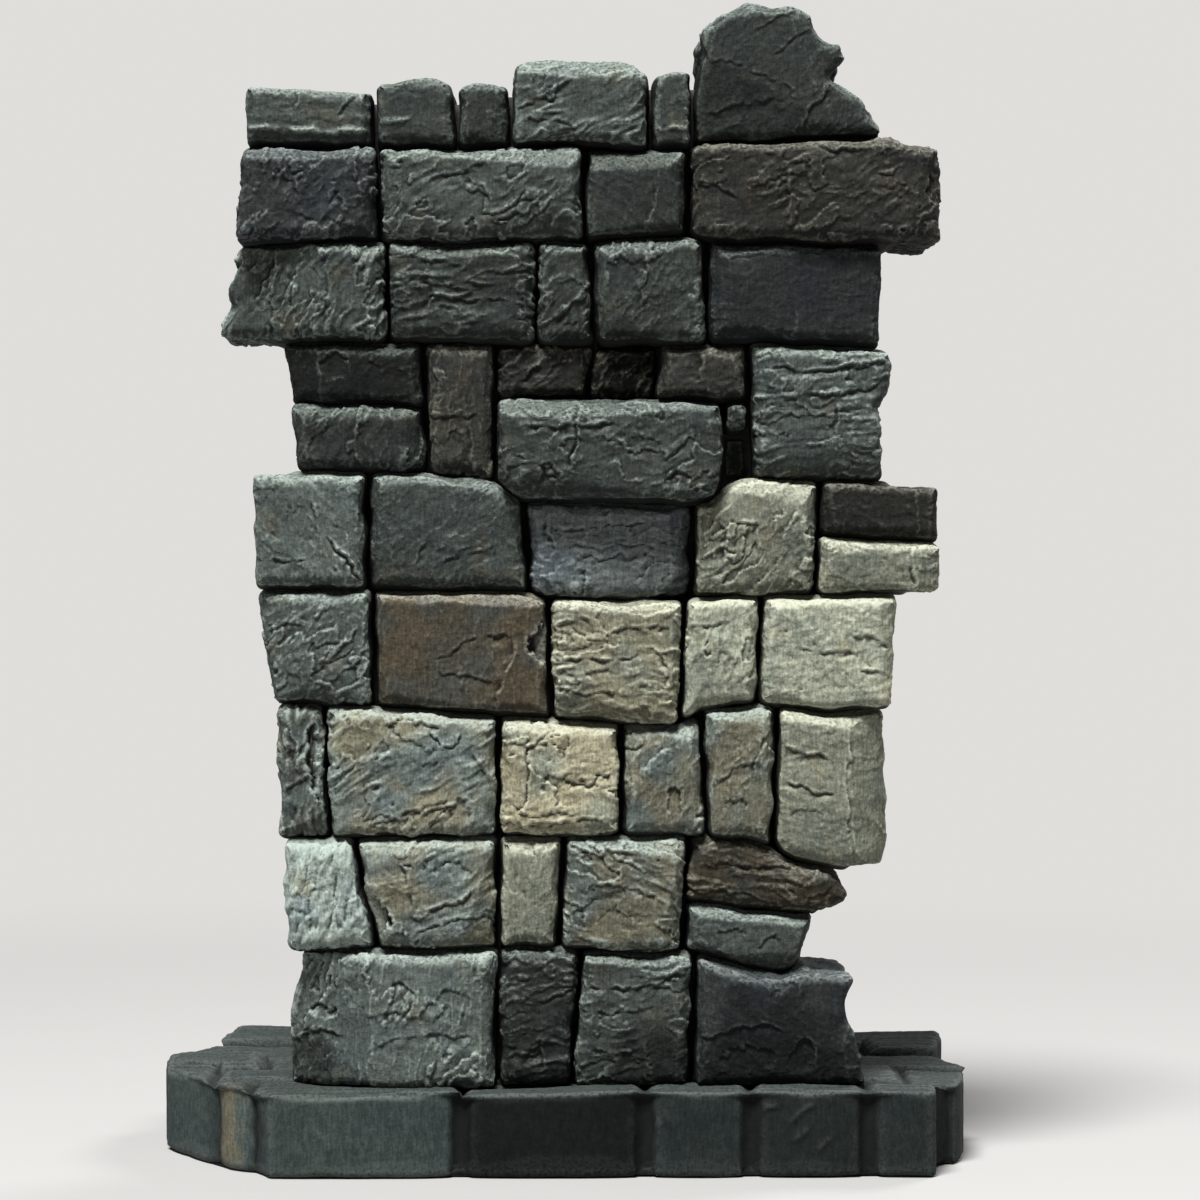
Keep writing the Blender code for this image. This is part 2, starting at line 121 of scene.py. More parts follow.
# Joints with other stones: how they are found, and how a stone swells into them behind the wall's face
WALL_FACE = -37.0
JOINT_PROBE = 2.2
PROBE_TURNS = (-0.7, 0.0, 0.7)
BED_ROUNDS = 6
BED_SWELL = (0.35, 0.8)
BED_START = (1.4, 3.6)
BED_CALM = 0.7
# Depths behind the wall's face over which painted shade darkens a stone's sides in its joints
JOINT_PAINTED_SHADE = (0.9, 2.6)
GROUND_REACH = 200.0
GROUND_DEPTH = 20.0

# Mortar, as a sheet on a grid of cells that closes the joints and keeps inside the wall's free edge
MORTAR_DEPTHS = (-26.0, -15.0)
MORTAR_CELL = 1.2
MORTAR_CLOSES = 2.0
MORTAR_INSET = 1.2
MORTAR_ROUGH = 0.6
MORTAR_GRAIN = 2.5

# Ledges and ridges on a face, where a ledge as deep as a crack comes straight back up
LEDGE_EDGE = 0.12
LEDGE_LIP = 0.28
LIP_HEIGHT = 0.3
LEDGE_RUN = 1.6
LEDGE_FADE = (-0.08, 0.15)
CRACK_DEPTH = 0.55
CRACK_RUN = 0.3
RIDGE_WIDTH = 0.5
WANDER_SIZE = 3.0
LEDGE_WANDER = 0.9
RIDGE_WANDER = 0.3
FACE_TURN = (0.2, 0.7)

# Ledges on the back of a stone, by shares of its width and height
BACK_LEDGES = 4
BACK_SPAN = (0.05, 0.95)
BACK_BOW = (-1.0, 1.0)
BACK_DEPTH = 0.4

# Scars on a face, where shallow ones are deepest at their tops and holes are deep all over
SCAR_EDGE = 0.15
SCAR_SIZE = 1.8
SCAR_ROUGH = 0.45
SCAR_MIDDLE = 0.6
SCAR_SLOPE = 0.5
SCAR_LEAST = 0.15
HOLE_DEPTH = 1.0

# Breaks in the free sides, as the sizes and depths of hollows, and how uneven all sides are
BREAKS = (((7.0, 6.0, 8.0), 1.3), ((2.8, 2.8, 2.8), 0.5))
BREAK_LEVEL = 0.5
BREAK_BEND = 4.0
BREAK_BEND_SIZE = 7.0
RAGGED_ROUNDS = 10
UNEVEN = 0.45
UNEVEN_SIZE = (5.0, 5.0, 12.0)

# Facets hewn round each face and slighter ones across it, by shares of its reach and slopes in degrees
CUT_EASE = 0.4
BEVEL_START = (0.68, 0.92)
BEVEL_SLOPE = (10.0, 30.0)
BEVEL_TURN = 14.0
SLIGHT_CUTS = 2
SLIGHT_SPAN = (0.2, 0.8)
SLIGHT_SLOPE = (2.0, 6.0)

# Features of rough rock, by their sizes along its layers, over them and inwards
BEND = 1.3
BEND_SIZE = 5.0
SWELL = 0.22
SWELL_SIZE = 12.0
PLATE_SIZE = (8.0, 4.5, 8.0)
PLATE_EDGE = 0.10
FLAKE_SIZE = (3.4, 2.0, 3.4)
FLAKE_EDGE = 0.16
TERRACES = 1.5
TERRACE_FALL = 0.85
FOLD_SIZE = (8.0, 2.6, 6.0)
FOLD_STEEP = 2.4
FOLD_CREST = 1.5
SCALLOP_SIZE = (7.0, 4.5, 6.0)
SCALLOP_LEVEL = 0.3
DIMPLE_SIZE = (2.6, 1.8, 2.6)
DIMPLES = 0.2
STROKE_SIZE = (9.0, 0.8, 5.0)
PIT_SIZE = 1.8
PIT_START = (0.3, 0.7)
GRAIN_SIZE = (1.0, 1.4, 1.0)

# Patches that hold a feature or a colour: their size, and the noise at which they start and are full
PLATE_PATCH = (8.0, -0.2, 0.1)
FLAKE_PATCH = (6.0, -0.05, 0.2)
FOLD_PATCH = (7.0, -0.25, 0.25)
SCALLOP_PATCH = (9.0, -0.5, 0.2)
LEDGE_PATCH = (2.2, -0.6, 0.1)
RUST_PATCH = (7.0, -0.4, 0.3)

# Kinds of surface, as heights in millimetres
Surface = namedtuple("Surface", "plates flakes folds scallops strokes pits grain")
SURFACES = {
    "smooth": Surface(0.10, 0.05, 0.10, 0.22, 0.05, 0.04, 0.05),
    "pitted": Surface(0.15, 0.08, 0.12, 0.28, 0.04, 0.12, 0.06),
    "plated": Surface(0.42, 0.16, 0.20, 0.42, 0.05, 0.05, 0.05),
    "strata": Surface(0.30, 0.12, 0.34, 0.32, 0.10, 0.04, 0.05),
    "fibrous": Surface(0.38, 0.16, 0.45, 0.36, 0.18, 0.06, 0.06),
    "flags": Surface(0.06, 0.04, 0.08, 0.15, 0.08, 0.03, 0.03),
}


class Look(NamedTuple):
    """How a stone looks: its kind of surface, the lean of its layers in degrees, how pale it is, partly by
    painted light and shade, how rusty it is, partly by painted warm light, how far its free sides are
    broken, and its marks.

    Marks are placed by percents of its face, from its left and its foot. Cuts are (across, up, heading,
    slope), ledges (across, up, across, up, bow, depth) and scars (across, up, width, height, depth).
    """

    surface: str
    lean: float
    shade: float
    warmth: float = 0.0
    ragged: float = 0.35
    cuts: tuple = ()
    ledges: tuple = ()
    scars: tuple = ()


LOOKS = {
    "course1_left_end": Look(
        "plated", 75, 0.93, cuts=((42, 50, 180, 28),),
        ledges=((2, 33, 25, 40, 0.6, 0.4), (36, 55, 62, 52, 0.4, 0.25), (40, 30, 90, 38, 1, 0.25)),
        scars=(
            (55, 66, 4.5, 5.5, 0.4), (5, 94, 3, 3, 1.4), (14, 56, 3.5, 2.2, 0.7), (80, 60, 5, 6, 0.25),
        ),
    ),
    "course1_narrow": Look(
        "strata", 10, 0.16,
        ledges=(
            (30, 61, 98, 78, -0.8, 0.35), (2, 30, 75, 38, -0.8, 0.35), (55, 36, 50, 12, 0.3, 0.4),
            (5, 20, 55, 27, 0.3, 0.4),
        ),
    ),
    "course1_middle": Look(
        "plated", 10, 0.44, cuts=((50, 82, 90, 18),),
        ledges=((3, 78, 98, 92, -2, 0.45), (2, 62, 65, 60, -0.9, 0.35)),
    ),
    "course1_right_end": Look(
        "smooth", -40, 0.3, ragged=0.7, cuts=((50, 42, 265, 9), (85, 50, 0, 22)),
        ledges=((3, 36, 50, 47, 0.8, 0.4), (62, 45, 68, 12, 0.8, 0.4)),
        scars=((54, 72, 5, 4, 0.3), (62, 25, 3.5, 5.5, 0.5), (30, 20, 9, 5, 0.4)),
    ),
    "course2_left_end": Look(
        "fibrous", 80, 3.16, cuts=((75, 50, 0, 14),),
        ledges=((60, 75, 50, 10, 0.4, 0.3), (80, 70, 65, 15, 0.4, 0.35)),
    ),
    "course2_left": Look(
        "plated", 30, 1.19, warmth=1,
        ledges=((38, 28, 98, 62, -0.8, 0.5), (42, 14, 98, 30, 0.4, 0.35), (30, 80, 42, 40, 0.5, 0.35)),
        scars=((10, 24, 5, 6, 2), (36, 78, 1.6, 1.2, 0.6), (66, 72, 7, 3, 0.3)),
    ),
    "course2_narrow": Look(
        "pitted", 80, 0.94, cuts=((84, 50, 0, 28),), ledges=((62, 100, 55, 88, 0, 0.4),),
    ),
    "course2_middle": Look(
        "plated", -15, 0.85, warmth=1, ledges=((30, 60, 78, 52, 0.3, 0.4), (5, 86, 60, 90, 0.3, 0.35)),
        scars=((35, 52, 6, 3, 0.3), (10, 25, 3, 5, 0.4), (45, 25, 7, 4, 0.25)),
    ),
    "course2_right_lower": Look(
        "pitted", 10, 0.54, cuts=((88, 50, 0, 25), (50, 28, 270, 30)),
        ledges=((55, 35, 70, 62, 0, 0.3),),
        scars=((35, 55, 6, 2.5, 0.35),),
    ),
    "course2_right_upper": Look(
        "strata", -5, 0.27, warmth=0.9, ragged=0.25, cuts=((78, 50, 0, 24), (50, 20, 270, 20)),
        ledges=((10, 70, 70, 66, -0.6, 0.4), (2, 32, 55, 12, 0.3, 0.4)),
    ),
    "course3_left_end": Look(
        "fibrous", 85, 0.71, warmth=0.4,
        ledges=((20, 90, 35, 55, 0.4, 0.4), (10, 30, 60, 45, 0.4, 0.4), (30, 25, 35, 5, 0.2, 0.4)),
        scars=((76, 58, 1.8, 10, 1.4),),
    ),
    "course3_left": Look(
        "strata", 35, 1.42, warmth=1, cuts=((12, 50, 180, 20),),
        ledges=(
            (20, 10, 85, 30, -0.6, 0.4), (60, 5, 78, 28, 0.4, 0.35), (88, 65, 98, 40, 0, 0.35),
            (62, 80, 70, 71, 0.3, 0.6), (70, 71, 80, 80, -0.8, 0.6),
        ),
        scars=((50, 86, 9, 2.6, 0.6),),
    ),
    "course3_middle": Look(
        "plated", 15, 1.22, warmth=0.6,
        ledges=(
            (22, 80, 20, 45, 0.3, 0.7), (20, 45, 15, 15, 0.5, 0.7), (22, 78, 42, 77, 0.3, 0.45),
            (56, 90, 58, 66, 0, 0.3), (8, 6, 95, 10, 0.3, 0.4), (50, 50, 80, 30, 0.5, 0.4),
        ),
        scars=((52, 38, 7.5, 4.5, 0.35), (85, 42, 4, 3, 0.4)),
    ),
    "course3_right_middle": Look("plated", 60, 1.1, warmth=1, scars=((62, 25, 2.6, 6, 0.6),)),
    "course3_right": Look(
        "plated", 60, 0.95, warmth=1, ledges=((10, 45, 80, 60, 0.8, 0.3),),
        scars=((40, 25, 4, 4, 0.3),),
    ),
    "course3_right_end": Look(
        "smooth", -10, 0.96, cuts=((66, 50, 0, 38), (75, 12, 280, 40)),
        ledges=((5, 76, 45, 70, -0.3, 0.5), (2, 56, 48, 47, -0.3, 0.5), (67, 4, 66, 97, 0.1, 0.3)),
        scars=((25, 30, 6, 4, 0.25),),
    ),
    "course4_left_end": Look(
        "plated", 45, 0.64, cuts=((40, 50, 180, 20),),
        ledges=((50, 30, 95, 75, -0.8, 0.4), (50, 12, 95, 45, -0.6, 0.35), (10, 65, 40, 72, 0.4, 0.35)),
    ),
    "course4_left": Look(
        "smooth", 80, 0.49, warmth=0.8,
        ledges=(
            (35, 45, 55, 62, -0.4, 0.35), (55, 62, 75, 66, 0.3, 0.35), (80, 62, 76, 30, 0.6, 0.4),
            (76, 30, 72, 8, -0.4, 0.4), (35, 33, 70, 26, 0.3, 0.3),
        ),
        scars=((98, 60, 5, 6.5, 1.8), (74, 55, 3, 6, 0.25)),
    ),
    "course4_middle": Look(
        "strata", 5, 0.79, warmth=0.5,
        ledges=(
            (2, 55, 65, 56, -0.7, 0.5), (5, 28, 50, 26, -0.8, 0.5), (35, 68, 85, 80, 0.9, 0.4),
            (72, 60, 92, 40, 0.8, 0.35),
        ),
        scars=((18, 78, 6, 3.5, 0.25),),
    ),
    "course4_narrow": Look(
        "plated", 75, 1.39, cuts=((82, 50, 0, 30),), ledges=((5, 75, 60, 80, 0.2, 0.3),),
        scars=((55, 42, 4, 6, 0.25),),
    ),
    "course4_right_end": Look(
        "pitted", 5, 1.53, cuts=((88, 50, 0, 32), (90, 12, 300, 25)),
        ledges=((68, 66, 95, 60, 0.2, 0.35), (25, 56, 75, 50, -0.4, 0.3), (75, 35, 97, 30, 0.2, 0.3)),
    ),
    "course5_left_end": Look(
        "pitted", -50, 0.78, cuts=((80, 50, 0, 16),),
        ledges=((70, 42, 98, 4, 0.3, 0.9), (15, 25, 55, 28, -0.6, 0.4), (55, 80, 58, 40, 0.3, 0.35)),
        scars=((40, 50, 5, 7, 0.2),),
    ),
    "course5_left": Look(
        "pitted", 30, 0.42, ledges=((28, 12, 36, 42, 0.3, 0.3), (45, 20, 80, 36, 0.3, 0.3)),
    ),
    "course5_middle": Look(
        "strata", 5, 1.4, cuts=((84, 50, 0, 38), (84, 22, 318, 52), (50, 80, 90, 22)),
        ledges=(
            (12, 78, 80, 92, -1.2, 0.4), (10, 56, 95, 62, -0.4, 0.3), (20, 40, 90, 46, 0.4, 0.3),
            (8, 92, 15, 48, 0.4, 0.45), (35, 30, 33, 5, 0.3, 0.4),
        ),
    ),
    "course5_right": Look(
        "plated", 40, 0.71, ledges=((22, 68, 20, 20, 0.5, 0.45), (22, 70, 52, 60, 0.3, 0.35)),
        scars=((42, 42, 4, 6, 0.3),),
    ),
    "course5_right_lower": Look(
        "pitted", 5, 0.77, cuts=((78, 50, 0, 22),), ledges=((75, 95, 77, 5, 0.2, 0.5),),
    ),
    "course5_right_upper": Look(
        "smooth", 0, 0.13, cuts=((82, 50, 0, 28),), ledges=((80, 95, 81, 5, 0.2, 0.35),),
    ),
    "course6_left_lower": Look(
        "plated", 70, 0.21, cuts=((84, 50, 0, 28),),
        ledges=((10, 30, 30, 80, 0.3, 0.3), (50, 50, 55, 95, 0.2, 0.4)),
    ),
    "course6_left_upper": Look(
        "smooth", 30, 0.06, cuts=((30, 50, 180, 26),), ledges=((62, 70, 92, 55, -0.5, 0.35),),
        scars=((36, 62, 4.5, 5, 0.6),),
    ),
    "course6_upright": Look(
        "plated", 85, 0.31, ledges=((5, 44, 80, 47, 0.2, 0.4), (62, 40, 68, 4, 0.3, 0.35)),
    ),
    "proud_block": Look(
        "plated", 15, 0.34, cuts=((50, 82, 90, 45), (95, 50, 0, 40)),
        ledges=(
            (35, 100, 36, 60, 0.2, 0.8), (36, 60, 31, 30, 0.4, 0.9), (14, 72, 52, 76, 0.3, 0.5),
            (18, 30, 28, 20, 0.3, 0.5), (72, 98, 74, 80, 0.2, 0.4),
        ),
        scars=((22, 26, 3.4, 3, 0.5), (80, 16, 5, 2.6, 0.5), (66, 50, 6, 4, 0.3)),
    ),
    "chink_stone": Look("pitted", 0, 0.23),
    "filler_stone": Look("pitted", 0, 0.05),
    "course6_over_left": Look(
        "strata", 35, 0.18, ledges=((28, 30, 50, 80, 0.4, 0.4), (45, 25, 72, 75, 0.4, 0.4)),
    ),
    "course6_over_middle": Look(
        "strata", 45, 0.05, cuts=((50, 50, 60, 25),), ledges=((10, 15, 40, 75, 0.3, 0.4),),
    ),
    "course6_over_right": Look(
        "pitted", 20, 0.26, cuts=((15, 50, 180, 25),), ledges=((50, 90, 45, 30, 0.2, 0.4),),
    ),
    "course6_right_end": Look(
        "strata", 8, 0.51, ragged=0.6, cuts=((50, 16, 270, 22), (92, 50, 0, 25)),
        ledges=(
            (10, 84, 90, 88, -0.7, 0.4), (40, 62, 95, 72, -0.5, 0.4), (60, 56, 58, 25, 0.3, 0.4),
            (5, 40, 50, 48, 0.4, 0.3),
        ),
    ),
    "course7_left_end": Look(
        "fibrous", 55, 0.49, ragged=1.2, cuts=((64, 50, 180, 24), (86, 50, 0, 28)),
        ledges=((35, 90, 20, 40, 0.4, 0.4), (50, 85, 32, 25, 0.4, 0.4), (66, 95, 64, 5, 0.3, 0.35)),
    ),
    "course7_left": Look(
        "strata", 5, 0.26, cuts=((86, 50, 0, 26), (50, 88, 90, 25)),
        ledges=(
            (10, 62, 72, 60, -0.3, 0.4), (20, 45, 82, 42, -0.3, 0.4), (15, 86, 50, 80, 0.3, 0.35),
            (28, 65, 26, 30, 0.2, 0.35),
        ),
    ),
    "course7_narrow": Look("strata", 45, 0.27, ledges=((20, 15, 90, 50, -0.4, 0.4),)),
    "course7_middle": Look(
        "plated", 50, 0.32, cuts=((50, 50, 0, 8), (82, 50, 0, 26), (50, 84, 90, 24), (20, 30, 215, 16)),
        ledges=((45, 78, 40, 32, 0.3, 0.45),),
        scars=((24, 60, 5, 7, 0.35),),
    ),
    "course7_right_end": Look(
        "smooth", 10, 0.19, cuts=((86, 50, 0, 26),),
        ledges=((50, 32, 45, 4, 0.3, 0.3), (10, 86, 30, 90, 0.2, 0.3)),
    ),
    "course8_left_end": Look(
        "plated", 45, 0.28, cuts=((50, 88, 90, 34),),
        ledges=(
            (40, 28, 85, 12, 0.2, 0.3), (62, 96, 50, 70, 0.3, 0.35), (85, 72, 90, 20, 0.6, 0.35),
            (30, 80, 45, 48, 0.4, 0.3),
        ),
    ),
    "course8_left": Look(
        "plated", 35, 0.41, cuts=((50, 80, 88, 36), (95, 50, 0, 30)),
        ledges=(
            (25, 64, 60, 92, -0.4, 0.4), (45, 65, 55, 40, 0.4, 0.35), (55, 15, 85, 48, -0.6, 0.4),
            (66, 4, 82, 26, 0.3, 0.4),
        ),
    ),
    "course8_middle": Look(
        "smooth", -30, 0.22, cuts=((50, 76, 95, 34),), ledges=((72, 72, 58, 8, 0.5, 0.4),),
    ),
    "course8_right_end": Look(
        "plated", 20, 0.2, ragged=0.8,
        ledges=(
            (37, 82, 36, 20, 0.6, 0.45), (2, 60, 18, 42, 0.3, 0.4), (20, 85, 45, 78, 0.4, 0.4),
            (50, 94, 72, 90, -0.3, 0.45),
        ),
        scars=((97, 50, 2, 5, 0.7), (90, 95, 4, 1.8, 0.6), (78, 97, 5, 1.4, 0.6)),
    ),
    "course9_left_end": Look(
        "smooth", 0, 0.44,
        ledges=((1, 24, 99, 20, -0.2, -0.6), (40, 90, 38, 55, 0.2, 0.35), (75, 40, 90, 90, 0.3, 0.35)),
    ),
    "course9_left": Look("smooth", 10, 0.28, ledges=((2, 30, 45, 36, -0.2, -0.4),)),
    "course9_narrow": Look("pitted", 80, 0.24, cuts=((72, 50, 0, 26),)),
    "course9_middle": Look(
        "strata", 25, 0.53, cuts=((50, 78, 90, 42), (86, 50, 0, 24)),
        ledges=((2, 42, 30, 56, 0.3, 0.35), (5, 30, 50, 20, 0.3, 0.35), (25, 52, 42, 74, 0.2, 0.3)),
    ),
    "course9_right": Look("pitted", 30, 0.34, ledges=((5, 20, 95, 22, 0.2, -0.45),)),
    "cap_rock": Look(
        "smooth", 40, 0.24, ragged=1.3, cuts=((30, 46, 238, 16), (66, 30, 20, 26)),
        ledges=(
            (6, 62, 56, 30, 0.6, 0.25), (4, 20, 45, 30, 0.4, 0.35), (55, 5, 72, 40, 0.4, 0.4),
            (30, 80, 55, 95, 0.2, 0.25), (40, 62, 62, 80, 0.2, 0.25),
        ),
    ),
}

# How far courses and stones stand before the wall's face, by the starts of their names
FORWARD = {
    "course1": 0.5, "course2_right": -0.6, "course3_middle": 0.4, "course4": 0.2, "course4_middle": 0.3,
    "course5_middle": -0.9, "course6": -0.8, "course6_over": -0.6, "course7_left_end": -0.5, "course8": 0.8,
    "course9": -0.3, "filler": -0.9, "chink": -0.9,
}

# Right side and depth of the flagstone at the left front corner
CORNER_SIDE = -56.8
CORNER_DEPTH = 36.0

# Lines between the rows of flagstones, as distances behind the front edge at both ends of the reach
FLAG_REACH = 75.0
FLAG_ROWS = ((16.0, 11.5), (30.0, 31.0), (47.5, 46.0), (65.0, 66.0))

# Joints across each row of flagstones, from the front one to the back one, and how far all lines wander
FLAG_JOINTS = (
    (CORNER_SIDE, -50.2, -17.0, 12.0, 28.5, 47.0),
    (CORNER_SIDE, -40.0, -14.0, 8.0, 34.0, 54.0),
    (-50.0, -27.0, -4.0, 19.0, 43.0),
    (-43.0, -18.0, 7.0, 31.0, 51.0),
    (-35.0, -9.0, 16.0, 41.0),
)
FLAG_WANDER = 0.5
FLAG_WANDER_SIZE = 4.0
WANDER_SEEDS = (5, 6)

# Shape of the flagstones: the lift of each row, their tilt, and the grooves and shoulders at their joints
FLAG_LIFT = (0.15, 0.5, 1.0, 1.0, 1.0)
FLAG_TILT = 0.03
FLAG_GROOVE = 1.1
FLAG_GAP = 1.1
GROOVE_START = (0.0, 7.0)
SIDE_GROOVE = 0.2
SHOULDER_DEPTH = 1.4
SHOULDER_RUN = 3.0
BASE_CUT = 3.0
BASE_ARRIS = 1.2
TOP_TURN = (0.3, 0.8)
FRONT_TURN = (0.5, 0.9)
FOOT_TURN = 0.2

# Surface of the flagstones: layers on top, streaks down the ends and the back, and calmer sides
LAYER_DEPTH = 0.45
LAYER_SPREAD = (30.0, 2.6, 30.0)
STREAK_DEPTH = 0.12
STREAK_SPREAD = (3.0, 3.0, 45.0)
SIDE_ROCK = 0.25

# Paint of the flagstones: the sides of the front row, partly their own tone and partly painted light and
# shade, all the tops, the painted shade in the joints, and the steps of tone
FRONT_TONE_AND_PAINTED_LIGHT = (1.06, 1.55, 0.84, 0.10, 0.37, 0.24, 0.32)
FLAG_SHADE = 0.42
# Painted shade along the grooves between flagstones, on their sides and a little more on their tops
GROOVE_SHADE_SIDES = 0.62
GROOVE_SHADE_TOPS = 0.13
ROW_TONE = 5.0
COLUMN_TONE = 3.0

# Dark patches on the wall and warm stains on the base, as (across, up, radius) and (across, back, radius)
DARK_PATCHES = ((33.0, 16.0, 14.0), (13.0, 17.0, 7.0), (-41.0, 18.0, 5.0), (8.0, 127.0, 7.0))
DARK_PATCH_DEPTH = 0.65
STAINS = ((-53.6, -37.0, 3.0), (-53.4, -32.0, 2.8))
SPOT_ROUGH = 0.3
SPOT_SIZE = 3.0
SPOT_EDGE = (0.6, 1.2)

# Scratches on the front of the base, as (x, z, x, z, bow, depth)
FRONT_SCRATCHES = (
    (30.0, 10.6, 33.0, 11.2, 0.2, -0.25), (34.5, 8.6, 38.5, 11.6, 0.3, -0.25),
    (35.0, 6.0, 37.6, 8.0, -0.2, -0.25), (38.8, 4.4, 41.0, 6.4, 0.0, -0.25),
    (-40.0, 8.0, -37.0, 4.6, 0.3, -0.2), (13.4, 7.5, 14.2, 9.0, 0.0, -0.2),
)

# Camera, measured from the middle of the base
CAMERA_AT = (-4.5, -637.0, 95.0)
CAMERA_AIM = (5.0, -38.0, 90.3)
SENSOR = 36.0
LENS = 114.5

# Studio, in metres and watts
KEY_PLACE = (-0.20, -0.62, 1.25)
LAMP_AIM = (0.0, -0.03, 0.09)
LAMP_SIZE = 0.45
KEY_POWER = 36.0
BACK_PLACE = (0.62, 0.72, 0.78)
BACK_POWER = 6.5
WORLD_LIGHT = 0.17
FLOOR_RADIUS = 6.0
FLOOR_SIDES = 96
FLOOR_ROUGHNESS = 0.9
FLOOR_COLOUR = (0.42, 0.415, 0.405)
FLOOR_FADE = (0.16, 0.50)
BACKDROP_COLOUR = (0.74, 0.73, 0.71)

# Paint of each slot: its patches, the wash in its hollows, partly painted shade, the dry brush, partly
# painted highlight, and how rusty and grainy it is
Paint = namedtuple("Paint", "body cool warm wash brush rust grain")
PAINTS = {
    "slate_grey": Paint(
        (0.093, 0.110, 0.098), (0.076, 0.093, 0.090), (0.118, 0.112, 0.078),
        (0.009, 0.010, 0.009), (0.345, 0.40, 0.355), 0.8, 1.0,
    ),
    "slate_blue": Paint(
        (0.078, 0.090, 0.088), (0.062, 0.074, 0.084), (0.090, 0.094, 0.082),
        (0.008, 0.009, 0.010), (0.30, 0.34, 0.33), 0.8, 1.0,
    ),
    "slate_brown": Paint(
        (0.095, 0.096, 0.080), (0.080, 0.086, 0.078), (0.128, 0.101, 0.060),
        (0.010, 0.009, 0.007), (0.34, 0.33, 0.27), 0.6, 1.0,
    ),
    "slate_tan": Paint(
        (0.183, 0.192, 0.147), (0.150, 0.165, 0.132), (0.250, 0.215, 0.130),
        (0.014, 0.013, 0.010), (0.50, 0.51, 0.40), 0.5, 1.0,
    ),
    "flagstone": Paint(
        (0.046, 0.062, 0.057), (0.038, 0.053, 0.054), (0.088, 0.082, 0.058),
        (0.007, 0.008, 0.008), (0.10, 0.112, 0.104), 0.1, 0.4,
    ),
}

# Speckles in the paint, with the noise over which they rise and the shades they rise from and to
Speckle = namedtuple("Speckle", "size detail start full bottom top", defaults=(0.0, 1.0))
COOL = Speckle(9.0, 3.0, 0.45, 0.65)
WARM = Speckle(6.0, 4.0, 0.54, 0.74)
MOTTLE = Speckle(1.3, 4.0, 0.3, 0.7, 0.82, 1.15)
GRAIN = Speckle(0.4, 2.0, 0.3, 0.7, 0.80, 1.16)
STREAK = Speckle(1.0, 3.0, 0.35, 0.65, 0.80, 1.18)
# Speckles of the dry brush, which also carry its painted highlights
BRUSH_SPECKLE = Speckle(0.5, 2.0, 0.3, 0.6)
ROUGHNESS = Speckle(1.1, 4.0, 0.3, 0.7, 0.74, 0.95)
PLAIN_SHADE = Speckle(1.2, 4.0, 0.3, 0.7, 0.6, 1.2)

# How far a stone's tone shifts its patches, and how its upright brush strokes are squeezed
COOL_SHIFT = 9.0
WARM_SHIFT = -1.7
STREAK_SQUEEZE = (2.6, 2.6, 0.5)

# Fades of the painted shade on surfaces that face down, of the wash and painted shade in hollows, of the
# dry brush and painted highlight on ridges, arrises and tops, and of the painted shade in the joints
# Painted light and shade: paler on surfaces that face up and darker on those that face down
UP_PAINTED_SHADE = (-0.7, 0.7, 0.6, 1.3)
# Wash in the hollows, partly the paint's dark wash and partly painted shade
WIDE_WASH_AND_SHADE = (-0.08, -0.45)
CLOSE_WASH_AND_SHADE = (-0.02, -0.11)
WASH_AND_SHADE_COVER = 0.7
# Dry brush, fainter on darker stones, and a painted highlight where it faces up
BRUSH_BY_LIGHTNESS = (0.03, 1.0, 0.22, 1.0)
HIGHLIGHT_BY_UP = (-0.1, 0.6, 0.35, 1.0)
# Dry brush on ridges and arrises, partly painted highlight
RIDGE_BRUSH_AND_HIGHLIGHT = (0.012, 0.09)
RIDGE_COVER = 0.8
ARRIS_BRUSH_AND_HIGHLIGHT = (0.10, 0.45)
ARRIS_COVER = 0.75
# Painted highlight on surfaces that face up
TOP_PAINTED_HIGHLIGHT = (0.15, 0.65)
TOP_HIGHLIGHT_COVER = 0.6
# Painted shade in the joints, fainter on surfaces that face up
JOINT_SHADE_BY_UP = (0.3, 0.8, 0.92, 0.4)

# Sheen and fine relief of the materials
SPECULAR = 0.15
PIN_ROUGHNESS = 0.35
MORTAR_ROUGHNESS = 0.95
RELIEF_SIZE = 0.7
RELIEF_DEPTH = 0.3
STONE_RELIEF = 0.9
STONE_DETAIL = 5.0
PLAIN_RELIEF = 0.6
PLAIN_DETAIL = 4.0


# Noise

def hashed(cells, seed):
    """A whole number up to 2**32 for each lattice cell."""
    code = np.uint32(seed * HASH_SEED % 2**32)
    for cell, prime in zip(cells, HASH_PRIMES):
        code = code ^ cell * np.uint32(prime)
    for _ in range(2):
        code = (code ^ (code >> np.uint32(16))) * np.uint32(HASH_MIX)
    return code ^ (code >> np.uint32(16))


def share_of(code, axis):
    """Shares from 0 to 1 out of ten bits of a hash, other bits for each axis."""
    return ((code >> np.uint32(10 * axis)) & np.uint32(1023)) / 1023


def noise(points, seed):
    """Gradient noise from about -1 to 1, one cell to a unit."""
    floor = np.floor(points)
    whole = floor.astype(np.int64).astype(np.uint32).T
    part = (points - floor).T
    fade = part ** 3 * (part * (part * 6 - 15) + 10)
    total = np.zeros(len(points))
    for corner in np.ndindex(2, 2, 2):
        code = hashed([cell + np.uint32(step) for cell, step in zip(whole, corner)], seed)
        weight = 1.0
        slope = 0.0
        for axis in range(3):
            weight = weight * (fade[axis] if corner[axis] else 1 - fade[axis])
            gradient = 2 * share_of(code, axis) - 1
            slope = slope + gradient * (part[axis] - corner[axis])
        total += weight * slope
    return total * NOISE_GAIN


